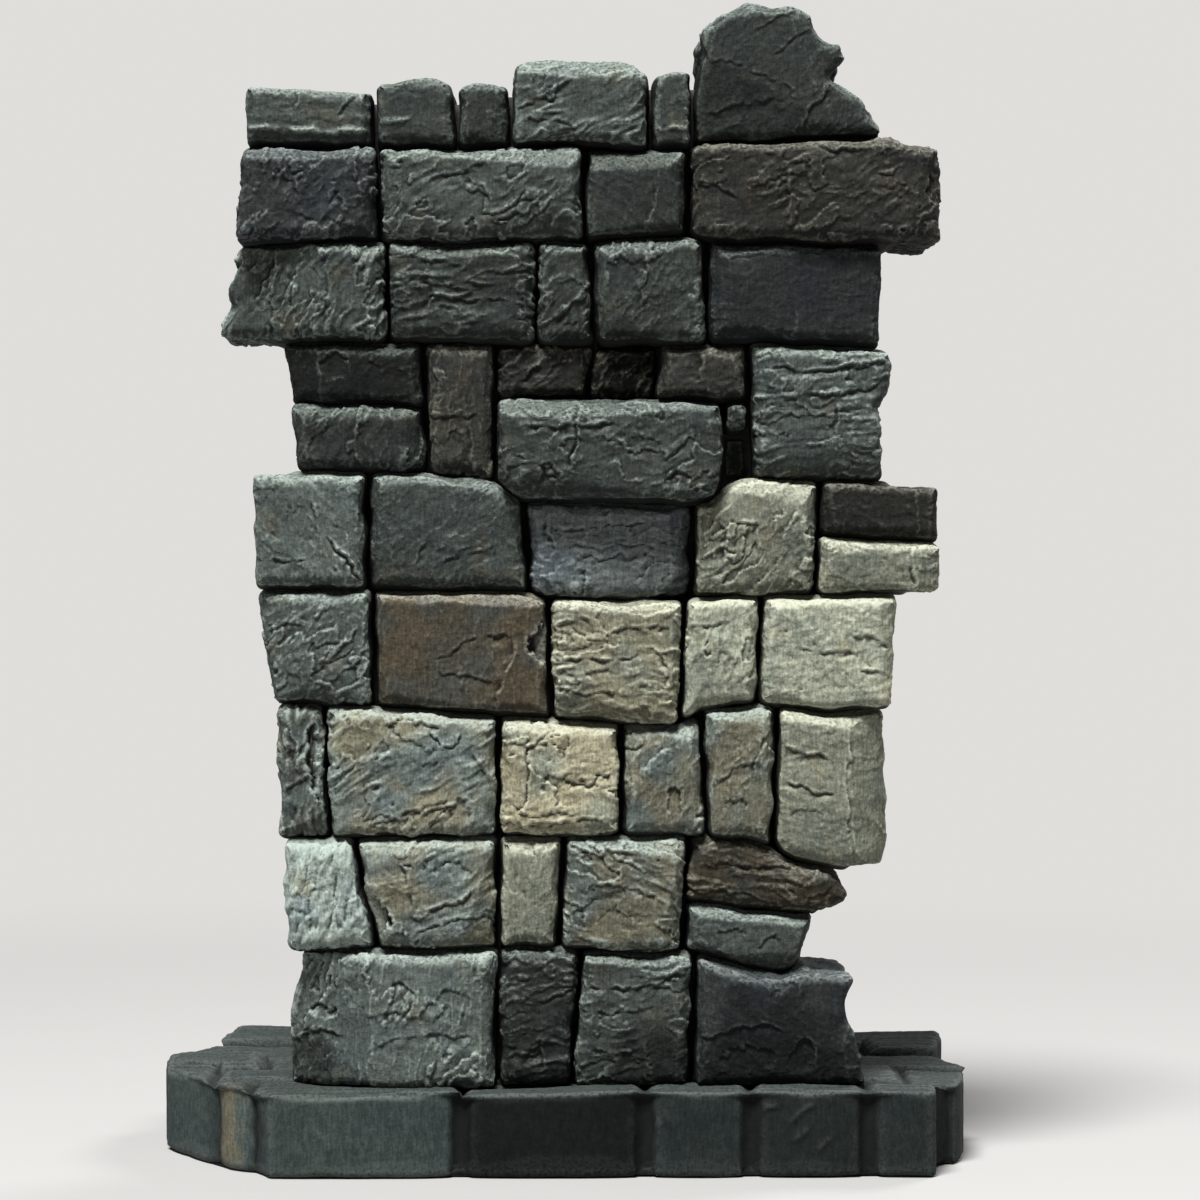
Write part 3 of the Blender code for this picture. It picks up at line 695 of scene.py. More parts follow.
def scallops(points, seed):
    """Shallow hollows that meet in sharp ridges, one to a cell: 0 in a hollow and up to about 0.8."""
    corner = np.floor(points - 0.5)
    nearest = np.full(len(points), np.inf)
    for shift in np.ndindex(2, 2, 2):
        cell = corner + shift
        code = hashed(cell.astype(np.int64).astype(np.uint32).T, seed)
        distance = np.zeros(len(points))
        for axis in range(3):
            jitter = SCALLOP_JITTER * (share_of(code, axis) - 0.5)
            distance += (points[:, axis] - cell[:, axis] - 0.5 - jitter) ** 2
        nearest = np.minimum(nearest, distance)
    return nearest


def layered(points, seed, octaves):
    """Noise with finer and fainter layers over it."""
    return sum(noise(points * FINER ** k, seed + LAYER_SEED * k) * FAINTER ** k for k in range(octaves))


def ramp(values, low, high):
    """A smooth step from 0 at low to 1 at high."""
    share = np.clip((values - low) / (high - low), 0, 1)
    return share * share * (3 - 2 * share)


def patches(points, patch, seed):
    """Patches with soft edges, from 0 outside them to 1."""
    size, start, full = patch
    return ramp(noise(points / size, seed), start, full)


# Meshes

Block = namedtuple("Block", "points triangles uv outline near far")


def outline_of(node, axis, depth):
    """The corners of a node's outline where a plane across the axis cuts it, anticlockwise."""
    shape = bmesh.new()
    shape.from_mesh(node.data)
    bmesh.ops.remove_doubles(shape, verts=shape.verts, dist=WELD * MM)
    everything = shape.verts[:] + shape.edges[:] + shape.faces[:]
    direction = Vector([float(k == axis) for k in range(3)])
    bmesh.ops.bisect_plane(
        shape, geom=everything, plane_co=direction * depth * MM, plane_no=direction,
        clear_inner=True, clear_outer=True,
    )
    shape.verts.ensure_lookup_table()
    here = shape.verts[0]
    edge = here.link_edges[0]
    corners = []
    while True:
        corners.append([here.co[k] / MM for k in range(3) if k != axis])
        here = edge.other_vert(here)
        edge = next(e for e in here.link_edges if e is not edge)
        if here is shape.verts[0]:
            break
    shape.free()
    return anticlockwise(without_straight(np.array(corners)))


def without_straight(corners):
    """Corners without those that lie on a straight side."""
    before = corners - np.roll(corners, 1, 0)
    after = np.roll(corners, -1, 0) - corners
    turn = before[:, 0] * after[:, 1] - before[:, 1] * after[:, 0]
    return corners[np.abs(turn) > STRAIGHT_TURN]


def sharpened(corners):
    """Corners with each chamfer between two sides taken back to the point where the sides meet."""
    side = np.roll(corners, -1, 0) - corners
    length = np.linalg.norm(side, axis=1)
    corners = corners.copy()
    spare = []
    for k in np.flatnonzero((length < CHAMFER) & (np.abs(side).min(1) > CHAMFER_LEAN * length)):
        after = (k + 1) % len(side)
        share = np.linalg.solve(np.column_stack((side[k - 1], side[after])), side[k])
        reach = share * length[[k - 1, after]]
        if 0 < reach.min() and reach.max() < CHAMFER:
            corners[k] += share[0] * side[k - 1]
            spare.append(after)
    return np.delete(corners, spare, 0)


def anticlockwise(corners):
    """Corners in anticlockwise order."""
    after = np.roll(corners, -1, 0)
    area = np.sum(corners[:, 0] * after[:, 1] - corners[:, 1] * after[:, 0])
    return corners if area > 0 else corners[::-1]


def along_outline(outline, spacing):
    """Points round the outline, closer than the spacing, with its corners eased."""
    points = []
    for start, end in zip(outline, np.roll(outline, -1, 0)):
        count = math.ceil(np.linalg.norm(end - start) / spacing)
        points += [start + (end - start) * k / count for k in range(count)]
    ring = np.array(points)
    for _ in range(RING_ROUNDS):
        ring = (np.roll(ring, 1, 0) + 2 * ring + np.roll(ring, -1, 0)) / 4
    return ring


def edge_distance(points, outline):
    """How far each point lies from the outline, and the outward direction of the side nearest to it."""
    best = np.full(len(points), np.inf)
    outward = np.zeros((len(points), 2))
    for start, end in zip(outline, np.roll(outline, -1, 0)):
        side = end - start
        share = np.clip((points - start) @ side / (side @ side), 0, 1)
        gap = np.linalg.norm(points - start - share[:, None] * side, axis=1)
        nearer = gap < best
        best[nearer] = gap[nearer]
        outward[nearer] = np.array((side[1], -side[0])) / np.linalg.norm(side)
    return best, outward


def inside(points, outline):
    """Whether each point lies inside the outline."""
    result = np.zeros(len(points), bool)
    for (x0, y0), (x1, y1) in zip(outline, np.roll(outline, -1, 0)):
        if y0 != y1:
            crosses = (points[:, 1] < y0) != (points[:, 1] < y1)
            result ^= crosses & (points[:, 0] < x0 + (points[:, 1] - y0) * (x1 - x0) / (y1 - y0))
    return result


def grid_inside(ring, spacing):
    """A triangular grid of points inside the ring, clear of its edge."""
    low, high = ring.min(0), ring.max(0)
    rise = spacing * math.sqrt(3) / 2
    rows = np.arange(low[1], high[1], rise)
    columns = np.arange(low[0], high[0], spacing)
    across = columns[None, :] + (np.arange(len(rows)) % 2)[:, None] * spacing / 2
    up = np.repeat(rows[:, None], len(columns), 1)
    points = np.column_stack((across.ravel(), up.ravel()))
    points = points[inside(points, ring)]
    gap = edge_distance(points, ring[::2])[0]
    return points[gap > spacing * EDGE_CLEARANCE]


def cap_triangles(flat, ring_count):
    """Triangles that fill the ring with the points inside it."""
    sides = [list(range(ring_count))]
    points = [Vector(p) for p in flat]
    inside_only = 1
    made = delaunay_2d_cdt(points, [], sides, inside_only, MERGE)
    first = np.array([origin[0] for origin in made[3]])
    return first[np.array(made[2])]


def make_block(outline, near, far, step, spacing, plain_far=False):
    """A prism of the outline from one depth to another, meshed finely on its faces and near its arrises.

    A plain far face has no points of its own inside its edge.
    """
    ring = along_outline(outline, spacing)
    flat = np.vstack((ring, grid_inside(ring, spacing)))
    caps = cap_triangles(flat, len(ring))
    back = ring if plain_far else flat
    back_caps = cap_triangles(back, len(ring)) if plain_far else caps
    rows = depth_rows(near, far, step)
    points = [np.column_stack((flat, np.full(len(flat), near)))]
    points += [np.column_stack((ring, np.full(len(ring), depth))) for depth in rows[1:-1]]
    points += [np.column_stack((back, np.full(len(back), far)))]
    starts = [0] + [len(flat) + k * len(ring) for k in range(len(rows) - 1)]
    here = np.arange(len(ring))
    after = np.roll(here, -1)
    sides = []
    side_uv = []
    place = np.append(here, len(ring)) / len(ring)
    for row, (top, bottom) in enumerate(zip(starts, starts[1:])):
        sides += [np.column_stack((top + here, bottom + here, top + after))]
        sides += [np.column_stack((top + after, bottom + here, bottom + after))]
        high, low = [(r - near) / (far - near) * np.ones(len(ring)) for r in rows[row:row + 2]]
        left, right = place[:-1], place[1:]
        side_uv += [corner_uv((left, high), (left, low), (right, high))]
        side_uv += [corner_uv((right, high), (left, low), (right, low))]
    triangles = np.vstack((caps, *sides, back_caps[:, ::-1] + starts[-1]))
    spread = (flat - flat.min(0)) / np.ptp(flat, axis=0)
    uv = np.vstack((
        into(spread[caps], FRONT_UV), into(np.vstack(side_uv), SIDE_UV),
        into(spread[back_caps[:, ::-1]], BACK_UV),
    ))
    return Block(np.vstack(points), triangles, uv, outline, near, far)


def corner_uv(*corners):
    """The places of triangles' corners in a unit square."""
    return np.stack([np.column_stack(corner) for corner in corners], 1)


def into(spread, box):
    """Places of a unit square, fitted into a box."""
    low, high = np.array(box)
    return low + spread * (high - low)


def depth_rows(near, far, step):
    """Depths of the rows of side points: close together at both arrises."""
    band = list(np.arange(0, EDGE_BAND, EDGE_STEP))
    count = math.ceil((far - near - 2 * EDGE_BAND) / step)
    middle = np.linspace(near + EDGE_BAND, far - EDGE_BAND, count + 1)
    return [near + b for b in band] + list(middle) + [far - b for b in reversed(band)]


def links_of(triangles, count):
    """Neighbours along the mesh, as (from, to, how many each point has)."""
    start = triangles[:, (0, 1, 2, 1, 2, 0)].ravel()
    end = triangles[:, (1, 2, 0, 0, 1, 2)].ravel()
    return start, end, np.bincount(start, minlength=count)


def smoothed(values, links, rounds):
    """Values, one row to a point, averaged with their neighbours' a number of times."""
    start, end, count = links
    for _ in range(rounds):
        total = [np.bincount(start, column[end], len(values)) for column in values.T]
        values = (values + np.column_stack(total) / count[:, None]) / 2
    return values


def normals_of(points, triangles):
    """Outward normals in a block's own axes, which are left-handed."""
    a, b, c = (points[triangles[:, k]] for k in range(3))
    face = np.cross(c - a, b - a)
    total = [
        sum(np.bincount(triangles[:, k], face[:, axis], len(points)) for k in range(3)) for axis in range(3)
    ]
    normals = np.column_stack(total)
    return normals / np.linalg.norm(normals, axis=1)[:, None]


def soft_normals(points, triangles, links):
    """Outward normals that change slowly from point to point."""
    normals = smoothed(normals_of(points, triangles), links, NORMAL_ROUNDS)
    return normals / np.linalg.norm(normals, axis=1)[:, None]


# Carving

def rounded(block, arris, seed):
    """The block's points with its arrises worn round."""
    points = block.points
    gap, outward = edge_distance(points[:, :2], block.outline)
    to_near = points[:, 2] - block.near
    to_far = block.far - points[:, 2]
    depth_gap = np.minimum(to_near, to_far)
    radius = arris * np.maximum(1 + ARRIS_SPREAD * noise(points / ARRIS_SIZE, seed), LEAST_ARRIS)
    sideways = np.maximum(radius - gap, 0)
    inward = np.maximum(radius - depth_gap, 0)
    reach = np.maximum(np.hypot(sideways, inward), TINY)
    over = np.where((sideways > 0) & (inward > 0), np.maximum(reach - radius, 0), 0)
    direction = np.column_stack((outward * sideways[:, None], np.where(to_near < to_far, -1, 1) * inward))
    return points - direction / reach[:, None] * over[:, None]


def bedding(points, outline, crowd):
    """Whether each point faces another stone across a joint, as 0 or 1."""
    gap, outward = edge_distance(points[:, :2], outline)
    met = np.zeros(len(points), bool)
    for turn in PROBE_TURNS:
        spin = np.array(((math.cos(turn), math.sin(turn)), (-math.sin(turn), math.cos(turn))))
        probe = points[:, :2] + outward @ spin * ((gap + JOINT_PROBE) / math.cos(turn))[:, None]
        for other in crowd:
            met |= inside(probe, other)
    return met.astype(float)


def on_face(block, across, up):
    """The place on a block's face at shares of its width and height."""
    low = block.outline.min(0)
    return low + np.ptp(block.outline, axis=0) * (across, up)


def fall_beyond(points, place, heading, slope):
    """How deep a flat cut lies that starts at a place and falls away along a heading."""
    turn = math.radians(heading)
    along = (points[:, :2] - place) @ (math.cos(turn), math.sin(turn))
    return (along + np.hypot(along, CUT_EASE)) / 2 * math.tan(math.radians(slope))


def shares(marks, count):
    """Marks with as many of their first values taken from percents to shares."""
    return [(*(value / 100 for value in mark[:count]), *mark[count:]) for mark in marks]


def hewn(random):
    """Facets for one face, as (across, up, heading, slope): one along each side and a few slight ones."""
    facets = []
    for heading in (0, 90, 180, 270):
        reach = random.uniform(*BEVEL_START) / 2
        across = 0.5 + reach * math.cos(math.radians(heading))
        up = 0.5 + reach * math.sin(math.radians(heading))
        turn = random.uniform(-BEVEL_TURN, BEVEL_TURN)
        facets.append((across, up, heading + turn, random.uniform(*BEVEL_SLOPE)))
    for _ in range(SLIGHT_CUTS):
        across, up = random.uniform(*SLIGHT_SPAN, 2)
        facets.append((across, up, random.uniform(0, 360), random.uniform(*SLIGHT_SLOPE)))
    return facets


def faceted(points, block, cuts, seed):
    """Points drawn back behind the flat cuts across the near face, and behind the facets of both faces."""
    random = np.random.default_rng(seed)
    falls = []
    for planes in (shares(cuts, 2) + hewn(random), hewn(random)):
        each = [fall_beyond(points, on_face(block, x, y), turn, slope) for x, y, turn, slope in planes]
        falls.append(np.max(each, axis=0))
    near, far = block.near + falls[0], block.far - falls[1]
    share = (points[:, 2] - block.near) / (block.far - block.near)
    return np.column_stack((points[:, :2], near + share * (far - near)))


def chipped(points, block, seed):
    """Points with shallow scoops broken out of the arrises, most of them at corners."""
    random = np.random.default_rng(seed)
    side = np.roll(block.outline, -1, 0) - block.outline
    side /= np.linalg.norm(side, axis=1)[:, None]
    before = np.roll(side, 1, 0)
    turn = np.arccos(np.clip((before * side).sum(1), -1, 1))
    sharp = np.flatnonzero(turn > SHARP_TURN)
    for _ in range(random.integers(*CHIPS)):
        at = random.choice(sharp) if random.random() < CORNER_CHIPS else random.integers(len(side))
        along = (before[at] + side[at]) / 2
        place = block.outline[at]
        if at not in sharp:
            along = side[at]
            place = place + (np.roll(block.outline, -1, 0)[at] - place) * random.uniform(*CHIP_SPAN)
        front = random.random() < NEAR_CHIPS
        outward = np.array((along[1], -along[0])) / np.linalg.norm(along)
        aside = outward * random.uniform(*CHIP_ASIDE)
        deep = random.uniform(*CHIP_DEEP) * (-1 if front else 1)
        direction = np.append(aside, deep)
        direction /= np.linalg.norm(direction)
        radius = random.uniform(*CHIP_RADIUS)
        middle = np.append(place, block.near if front else block.far)
        middle = middle + direction * (radius - random.uniform(*CHIP_BITE))
        points = scooped(points, middle, radius, direction, seed)
    return points


def scooped(points, middle, radius, direction, seed):
    """Points pushed back out of a ball with a slightly rough face."""
    away = points - middle
    along = away @ direction
    aside = np.maximum((away ** 2).sum(1) - along ** 2, 0)
    within = aside < radius ** 2
    face = -np.sqrt(np.where(within, radius ** 2 - aside, 0))
    rough = SCOOP_ROUGH * noise(points / SCOOP_SIZE, seed + 12)
    over = np.where(within, np.maximum(along - face + rough, 0), 0)
    return points - over[:, None] * direction


def ledge(flat, start, end, bow, depth):
    """A ledge from one place to another, with its lip on its left, or a ridge for a depth below 0."""
    run = np.array(end) - start
    length = np.linalg.norm(run)
    along = (flat - start) @ run / length ** 2
    aside = (flat - start) @ (-run[1], run[0]) / length - bow * 4 * along * (1 - along)
    fade = ramp(along, *LEDGE_FADE) * ramp(1 - along, *LEDGE_FADE)
    if depth < 0:
        return -depth * fade * np.exp(-(aside / RIDGE_WIDTH) ** 2)
    reach = LEDGE_RUN if depth < CRACK_DEPTH else CRACK_RUN
    drop = ramp(-aside, -LEDGE_EDGE, LEDGE_EDGE) * np.exp(np.minimum(aside, 0) / reach)
    lip = np.exp(-((aside - LEDGE_LIP) / LEDGE_LIP) ** 2)
    return depth * fade * (LIP_HEIGHT * lip - drop)


def marked(points, block, look, seed):
    """The height of a stone's own ledges and scars on its near face, and of a few ledges on its far one."""
    wander = np.column_stack([layered(points / WANDER_SIZE, seed + k, 3) for k in (20, 21)])
    flat = points[:, :2] + LEDGE_WANDER * wander
    straight = points[:, :2] + RIDGE_WANDER * wander
    near = np.zeros(len(points))
    whole = patches(points, LEDGE_PATCH, seed + 24)
    for x0, y0, x1, y1, bow, depth in shares(look.ledges, 4):
        start, end = on_face(block, x0, y0), on_face(block, x1, y1)
        rise = ledge(flat if depth > 0 else straight, start, end, bow, depth)
        near += rise * whole if depth < CRACK_DEPTH else rise
    rough = SCAR_ROUGH * layered(points / SCAR_SIZE, seed + 22, 3)
    for across, up, width, height, depth in shares(look.scars, 2):
        away = (flat - on_face(block, across, up)) / (width / 2, height / 2)
        floor = np.clip(SCAR_MIDDLE + SCAR_SLOPE * away[:, 1], SCAR_LEAST, 1)
        within = ramp(1 - (np.hypot(*away.T) + rough), 0, SCAR_EDGE)
        near -= depth * (1.0 if depth > HOLE_DEPTH else floor) * within
    random = np.random.default_rng(seed + 23)
    far = np.zeros(len(points))
    for _ in range(BACK_LEDGES):
        start, end = random.uniform(*BACK_SPAN, (2, 2))
        bow = random.uniform(*BACK_BOW)
        far += ledge(flat, on_face(block, *start), on_face(block, *end), bow, BACK_DEPTH)
    return near, far


def terraced(field, edge):
    """Steps that drop sharply at whole values of a field and rise gently between them."""
    step = np.floor(field)
    return step + ramp(field - step, 0.0, edge) - TERRACE_FALL * field


def rock(points, surface, lean, seed):
    """The height of rough rock over its block."""
    turn = math.radians(lean)
    along = points[:, 0] * math.cos(turn) + points[:, 1] * math.sin(turn)
    over = points[:, 1] * math.cos(turn) - points[:, 0] * math.sin(turn)
    turned = np.column_stack((along, over, points[:, 2]))
    warp = np.column_stack([noise(turned / BEND_SIZE, seed + k) for k in range(3)])
    bent = turned + BEND * warp
    plates = terraced(layered(bent / PLATE_SIZE, seed + 4, 4) * TERRACES, PLATE_EDGE)
    flakes = terraced(layered(bent / FLAKE_SIZE, seed + 13, 3) * TERRACES, FLAKE_EDGE)
    folds = np.clip(1 - FOLD_STEEP * np.abs(layered(bent / FOLD_SIZE, seed + 6, 3)), 0, 1) ** FOLD_CREST
    hollows = scallops(bent / SCALLOP_SIZE, seed + 15) - SCALLOP_LEVEL
    dimples = scallops(bent / DIMPLE_SIZE, seed + 16) - SCALLOP_LEVEL
    height = SWELL * noise(bent / SWELL_SIZE, seed + 3)
    height += surface.plates * patches(points, PLATE_PATCH, seed + 5) * plates
    height += surface.flakes * patches(points, FLAKE_PATCH, seed + 11) * flakes
    height += surface.folds * patches(points, FOLD_PATCH, seed + 7) * folds
    height += surface.scallops * patches(points, SCALLOP_PATCH, seed + 14) * hollows
    height += surface.scallops * DIMPLES * dimples
    height += surface.strokes * noise(bent / STROKE_SIZE, seed + 8)
    height -= surface.pits * ramp(layered(points / PIT_SIZE, seed + 9, 2), *PIT_START)
    height += surface.grain * layered(points / GRAIN_SIZE, seed + 10, 3)
    return height


def broken(points, seed):
    """The height of the breaks in a free side: hollows of two sizes that meet in sharp ridges."""
    warp = np.column_stack([noise(points / BREAK_BEND_SIZE, seed + k) for k in (26, 27, 28)])
    bent = points + BREAK_BEND * warp
    return sum(depth * scallops(bent / size, seed + 17) for size, depth in BREAKS) - BREAK_LEVEL


def carve(block, look, crowd, seed):
    """Carved points, and the marks that its paint follows."""
    links = links_of(block.triangles, len(block.points))
    bed = smoothed(bedding(block.points, block.outline, crowd)[:, None], links, BED_ROUNDS)[:, 0]
    inward = np.minimum(block.points[:, 2] - max(block.near, WALL_FACE), block.far - block.points[:, 2])
    sunk = bed * ramp(inward, *BED_START)
    arris = min(ARRIS, SMALL_ARRIS * np.ptp(block.outline, axis=0).min())
    points = faceted(rounded(block, arris, seed), block, look.cuts, seed)
    points = chipped(points, block, seed)
    normals = soft_normals(points, block.triangles, links)
    near, far = marked(points, block, look, seed)
    height = rock(points, SURFACES[look.surface], look.lean, seed) * (1 - BED_CALM * sunk)
    height += near * ramp(-normals[:, 2], *FACE_TURN) + far * ramp(normals[:, 2], *FACE_TURN)
    outward = smoothed(normals_of(block.points, block.triangles) * (1, 1, 0), links, RAGGED_ROUNDS)
    height += sunk * np.interp(np.abs(outward[:, 1]), (0, 1), BED_SWELL)
    sideways = look.ragged * broken(points, seed) * (1 - bed)
    sideways += UNEVEN * noise(points / UNEVEN_SIZE, seed + 25)
    points = points + normals * height[:, None] + outward * sideways[:, None]
    # Painted shade on the stone's sides deep in its joints
    joint = bed * ramp(inward, *JOINT_PAINTED_SHADE)
    return points, {**standing(points, block.triangles, links), "joint": joint}


def standing(points, triangles, links):
    """How far each point stands over its near surroundings, and over its wider ones."""
    normals = normals_of(points, triangles)
    close = smoothed(points, links, CLOSE_ROUNDS)
    wide = smoothed(close, links, WIDE_ROUNDS)
    raised, proud = [np.einsum("ij,ij->i", points - level, normals) for level in (close, wide)]
    return {"raised": raised, "proud": proud}


def new_object(name, data):
    """A new object in the scene."""
    made = bpy.data.objects.new(name, data)
    bpy.context.scene.collection.objects.link(made)
    return made


def piece_of(name, points, triangles, uv, marks):
    """A new object with the carved points, already in the frame's axes."""
    mesh = bpy.data.meshes.new(name)
    mesh.vertices.add(len(points))
    mesh.vertices.foreach_set("co", (points * MM).ravel())
    mesh.loops.add(triangles.size)
    mesh.loops.foreach_set("vertex_index", triangles.ravel())
    mesh.polygons.add(len(triangles))
    mesh.polygons.foreach_set("loop_start", np.arange(0, triangles.size, 3))
    mesh.polygons.foreach_set("use_smooth", np.ones(len(triangles), bool))
    mesh.update(calc_edges=True)
    for key, values in marks.items():
        mesh.attributes.new(key, "FLOAT", "POINT").data.foreach_set("value", values.astype(np.float32))
    layer = mesh.uv_layers.new(name="OFBake")
    layer.uv.foreach_set("vector", uv.astype(np.float32).ravel())
    return new_object(name, mesh)


def stone_outline(node):
    """A stone's outline a quarter of the way in from its face, without its chamfers."""
    low, high = [corner[1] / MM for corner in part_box(node.name)]
    return sharpened(outline_of(node, 1, low + (high - low) / 4))


def crowd_of(name, outlines):
    """The outlines that come near a stone's, with the top of the base as one of them."""
    low, high = outlines[name].min(0) - JOINT_PROBE, outlines[name].max(0) + JOINT_PROBE
    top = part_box("flagstone_base")[1][2] / MM
    reach, foot = GROUND_REACH, -GROUND_DEPTH
    ground = np.array(((-reach, foot), (reach, foot), (reach, top), (-reach, top)))
    others = [outline for other, outline in outlines.items() if other != name] + [ground]
    return [other for other in others if (other.max(0) > low).all() and (other.min(0) < high).all()]


def spotted(points, spots, seed):
    """How far inside round spots with rough edges each point lies, from 0 to 1."""
    away = [np.hypot(points[:, 0] - x, points[:, 1] - y) / radius for x, y, radius in spots]
    return 1 - ramp(np.min(away, axis=0) + SPOT_ROUGH * noise(points / SPOT_SIZE, seed), *SPOT_EDGE)


def carve_stone(node, outlines, seed):
    """A stone's own piece."""
    look = LOOKS[node.name]
    near, far = [corner[1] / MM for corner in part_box(node.name)]
    near -= sum(reach for start, reach in FORWARD.items() if node.name.startswith(start))
    shown = any(word in node.name for word in SHOWN_SIDES)
    block = make_block(outlines[node.name], near, far, SHOWN_STEP if shown else HIDDEN_STEP, SPACING)
    points, marks = carve(block, look, crowd_of(node.name, outlines), seed)
    # Lightness of the stone: partly its own tone and partly painted light, darker in the dark patches
    marks["shade"] = look.shade * (1 - DARK_PATCH_DEPTH * spotted(points, DARK_PATCHES, seed + 19))
    marks["tone"] = np.full(len(points), np.random.default_rng(seed).uniform(-1, 1))
    # Warm patches: partly rust and partly painted warm light
    marks["warmth"] = look.warmth * patches(points, RUST_PATCH, seed + 18)
    return piece_of(node.name + "_rock", points[:, (0, 2, 1)], block.triangles, block.uv, marks)


def flagstones(points, front):
    """The row and column of the flagstone at each point, and how far the point lies from its joints."""
    wander = [FLAG_WANDER * noise(points / FLAG_WANDER_SIZE, seed) for seed in WANDER_SEEDS]
    behind = points[:, 1] - front + wander[0]
    across = points[:, 0] + wander[1]
    share = (across + FLAG_REACH) / (2 * FLAG_REACH)
    lines = np.array([left + (right - left) * share for left, right in FLAG_ROWS])
    corner = (across < CORNER_SIDE) & (behind < CORNER_DEPTH)
    row = np.where(corner, 0, (behind > lines).sum(0))
    column = np.zeros(len(points), int)
    gap = np.where(corner, CORNER_DEPTH - behind, np.abs(behind - lines).min(0))
    for number, joints in enumerate(FLAG_JOINTS):
        here = row == number
        column[here] = np.searchsorted(joints, across[here])
        gap[here] = np.minimum(gap[here], np.abs(across[here, None] - joints).min(1))
    return row, column, gap


def lifted(points, block, row, column, seed):
    """Points with each flagstone a little higher or lower than the next, and tilted."""
    random = np.random.default_rng(seed)
    shape = (len(FLAG_JOINTS), max(len(joints) for joints in FLAG_JOINTS) + 1)
    lift = (random.uniform(-1, 1, shape) * np.array(FLAG_LIFT)[:, None])[row, column]
    tilt = random.uniform(-FLAG_TILT, FLAG_TILT, shape)[row, column]
    for number in np.unique(row * shape[1] + column):
        here = row * shape[1] + column == number
        lift[here] += tilt[here] * (points[here, 0] - points[here, 0].mean())
    share = (block.far - points[:, 2]) / (block.far - block.near)
    return points - np.outer(lift * share, (0, 0, 1))


def carve_base(node, seed):
    """The base's own piece, with the tops of its flagstones as the near face of its block."""
    low, high = [np.array(corner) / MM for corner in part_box(node.name)]
    outline = outline_of(node, 2, BASE_CUT)
    block = make_block(outline, -high[2], -low[2], SHOWN_STEP, BASE_SPACING, plain_far=True)
    links = links_of(block.triangles, len(block.points))
    points = rounded(block, BASE_ARRIS, seed)
    normals = soft_normals(points, block.triangles, links)
    top = ramp(-normals[:, 2], *TOP_TURN)
    front = ramp(-normals[:, 1], *FRONT_TURN)
    row, column, gap = flagstones(points, low[1])
    groove = np.exp(-(gap / FLAG_GAP) ** 2)
    started = ramp(points[:, 1] - low[1], *GROOVE_START)
    height = rock(points, SURFACES["flags"], 0, seed) * (SIDE_ROCK + (1 - SIDE_ROCK) * top)
    height += LAYER_DEPTH * layered(points / LAYER_SPREAD, seed + 30, 2) * top
    height += STREAK_DEPTH * noise(points / STREAK_SPREAD, seed + 31) * (1 - top) * (1 - front)
    height -= FLAG_GROOVE * (SIDE_GROOVE + (1 - SIDE_GROOVE) * top * started) * groove
    height -= SHOULDER_DEPTH * np.exp(-gap / SHOULDER_RUN) * (1 - top)
    face = np.column_stack((points[:, 0], -points[:, 2]))
    for x0, z0, x1, z1, bow, depth in FRONT_SCRATCHES:
        height += ledge(face, (x0, z0), (x1, z1), bow, depth) * front
    level = np.column_stack((edge_distance(points[:, :2], outline)[1], np.zeros(len(points))))
    direction = np.where(normals[:, 2:] > FOOT_TURN, level, normals)
    points = lifted(points, block, row, column, seed) + direction * height[:, None]
    points[:, 2] = np.minimum(points[:, 2], block.far)
    marks = standing(points, block.triangles, links)
    # Painted shade along the grooves between flagstones
    marks["joint"] = (GROOVE_SHADE_SIDES + GROOVE_SHADE_TOPS * top) * groove
    marks["warmth"] = spotted(points, STAINS, seed + 32)
    # Sides of the front row: partly their own tone and partly painted light and shade
    side = np.array(FRONT_TONE_AND_PAINTED_LIGHT)[column]
    marks["shade"] = np.where(row == 0, side + (FLAG_SHADE - side) * top, FLAG_SHADE)
    marks["tone"] = np.sin(ROW_TONE * row + COLUMN_TONE * column)
    return piece_of(node.name + "_carved", points * (1, 1, -1), block.triangles, block.uv, marks)


def grown(mask, reach):
    """A mask of cells with all those within reach added."""
    span = range(-math.floor(reach), math.floor(reach) + 1)
    shifts = [(run, rise) for run in span for rise in span if math.hypot(run, rise) <= reach]
    return np.any([np.roll(mask, shift, (0, 1)) for shift in shifts], axis=0)


def mortar_cells(outlines):
    """The corners' places along both sides of a grid over the wall, and which of its cells hold mortar."""
    corners = np.vstack(list(outlines.values()))
    margin = 2 * MORTAR_CLOSES
    lows, highs = corners.min(0) - margin, corners.max(0) + margin
    sides = [np.arange(low, high, MORTAR_CELL) for low, high in zip(lows, highs)]
    middles = [side[:-1] + MORTAR_CELL / 2 for side in sides]
    spots = np.stack(np.meshgrid(*middles, indexing="ij"), -1)
    flat = spots.reshape(-1, 2)
    walled = np.any([inside(flat, outline) for outline in outlines.values()], axis=0)
    closed = grown(walled.reshape(spots.shape[:2]), MORTAR_CLOSES / MORTAR_CELL)
    return sides, ~grown(~closed, (MORTAR_CLOSES + MORTAR_INSET) / MORTAR_CELL)


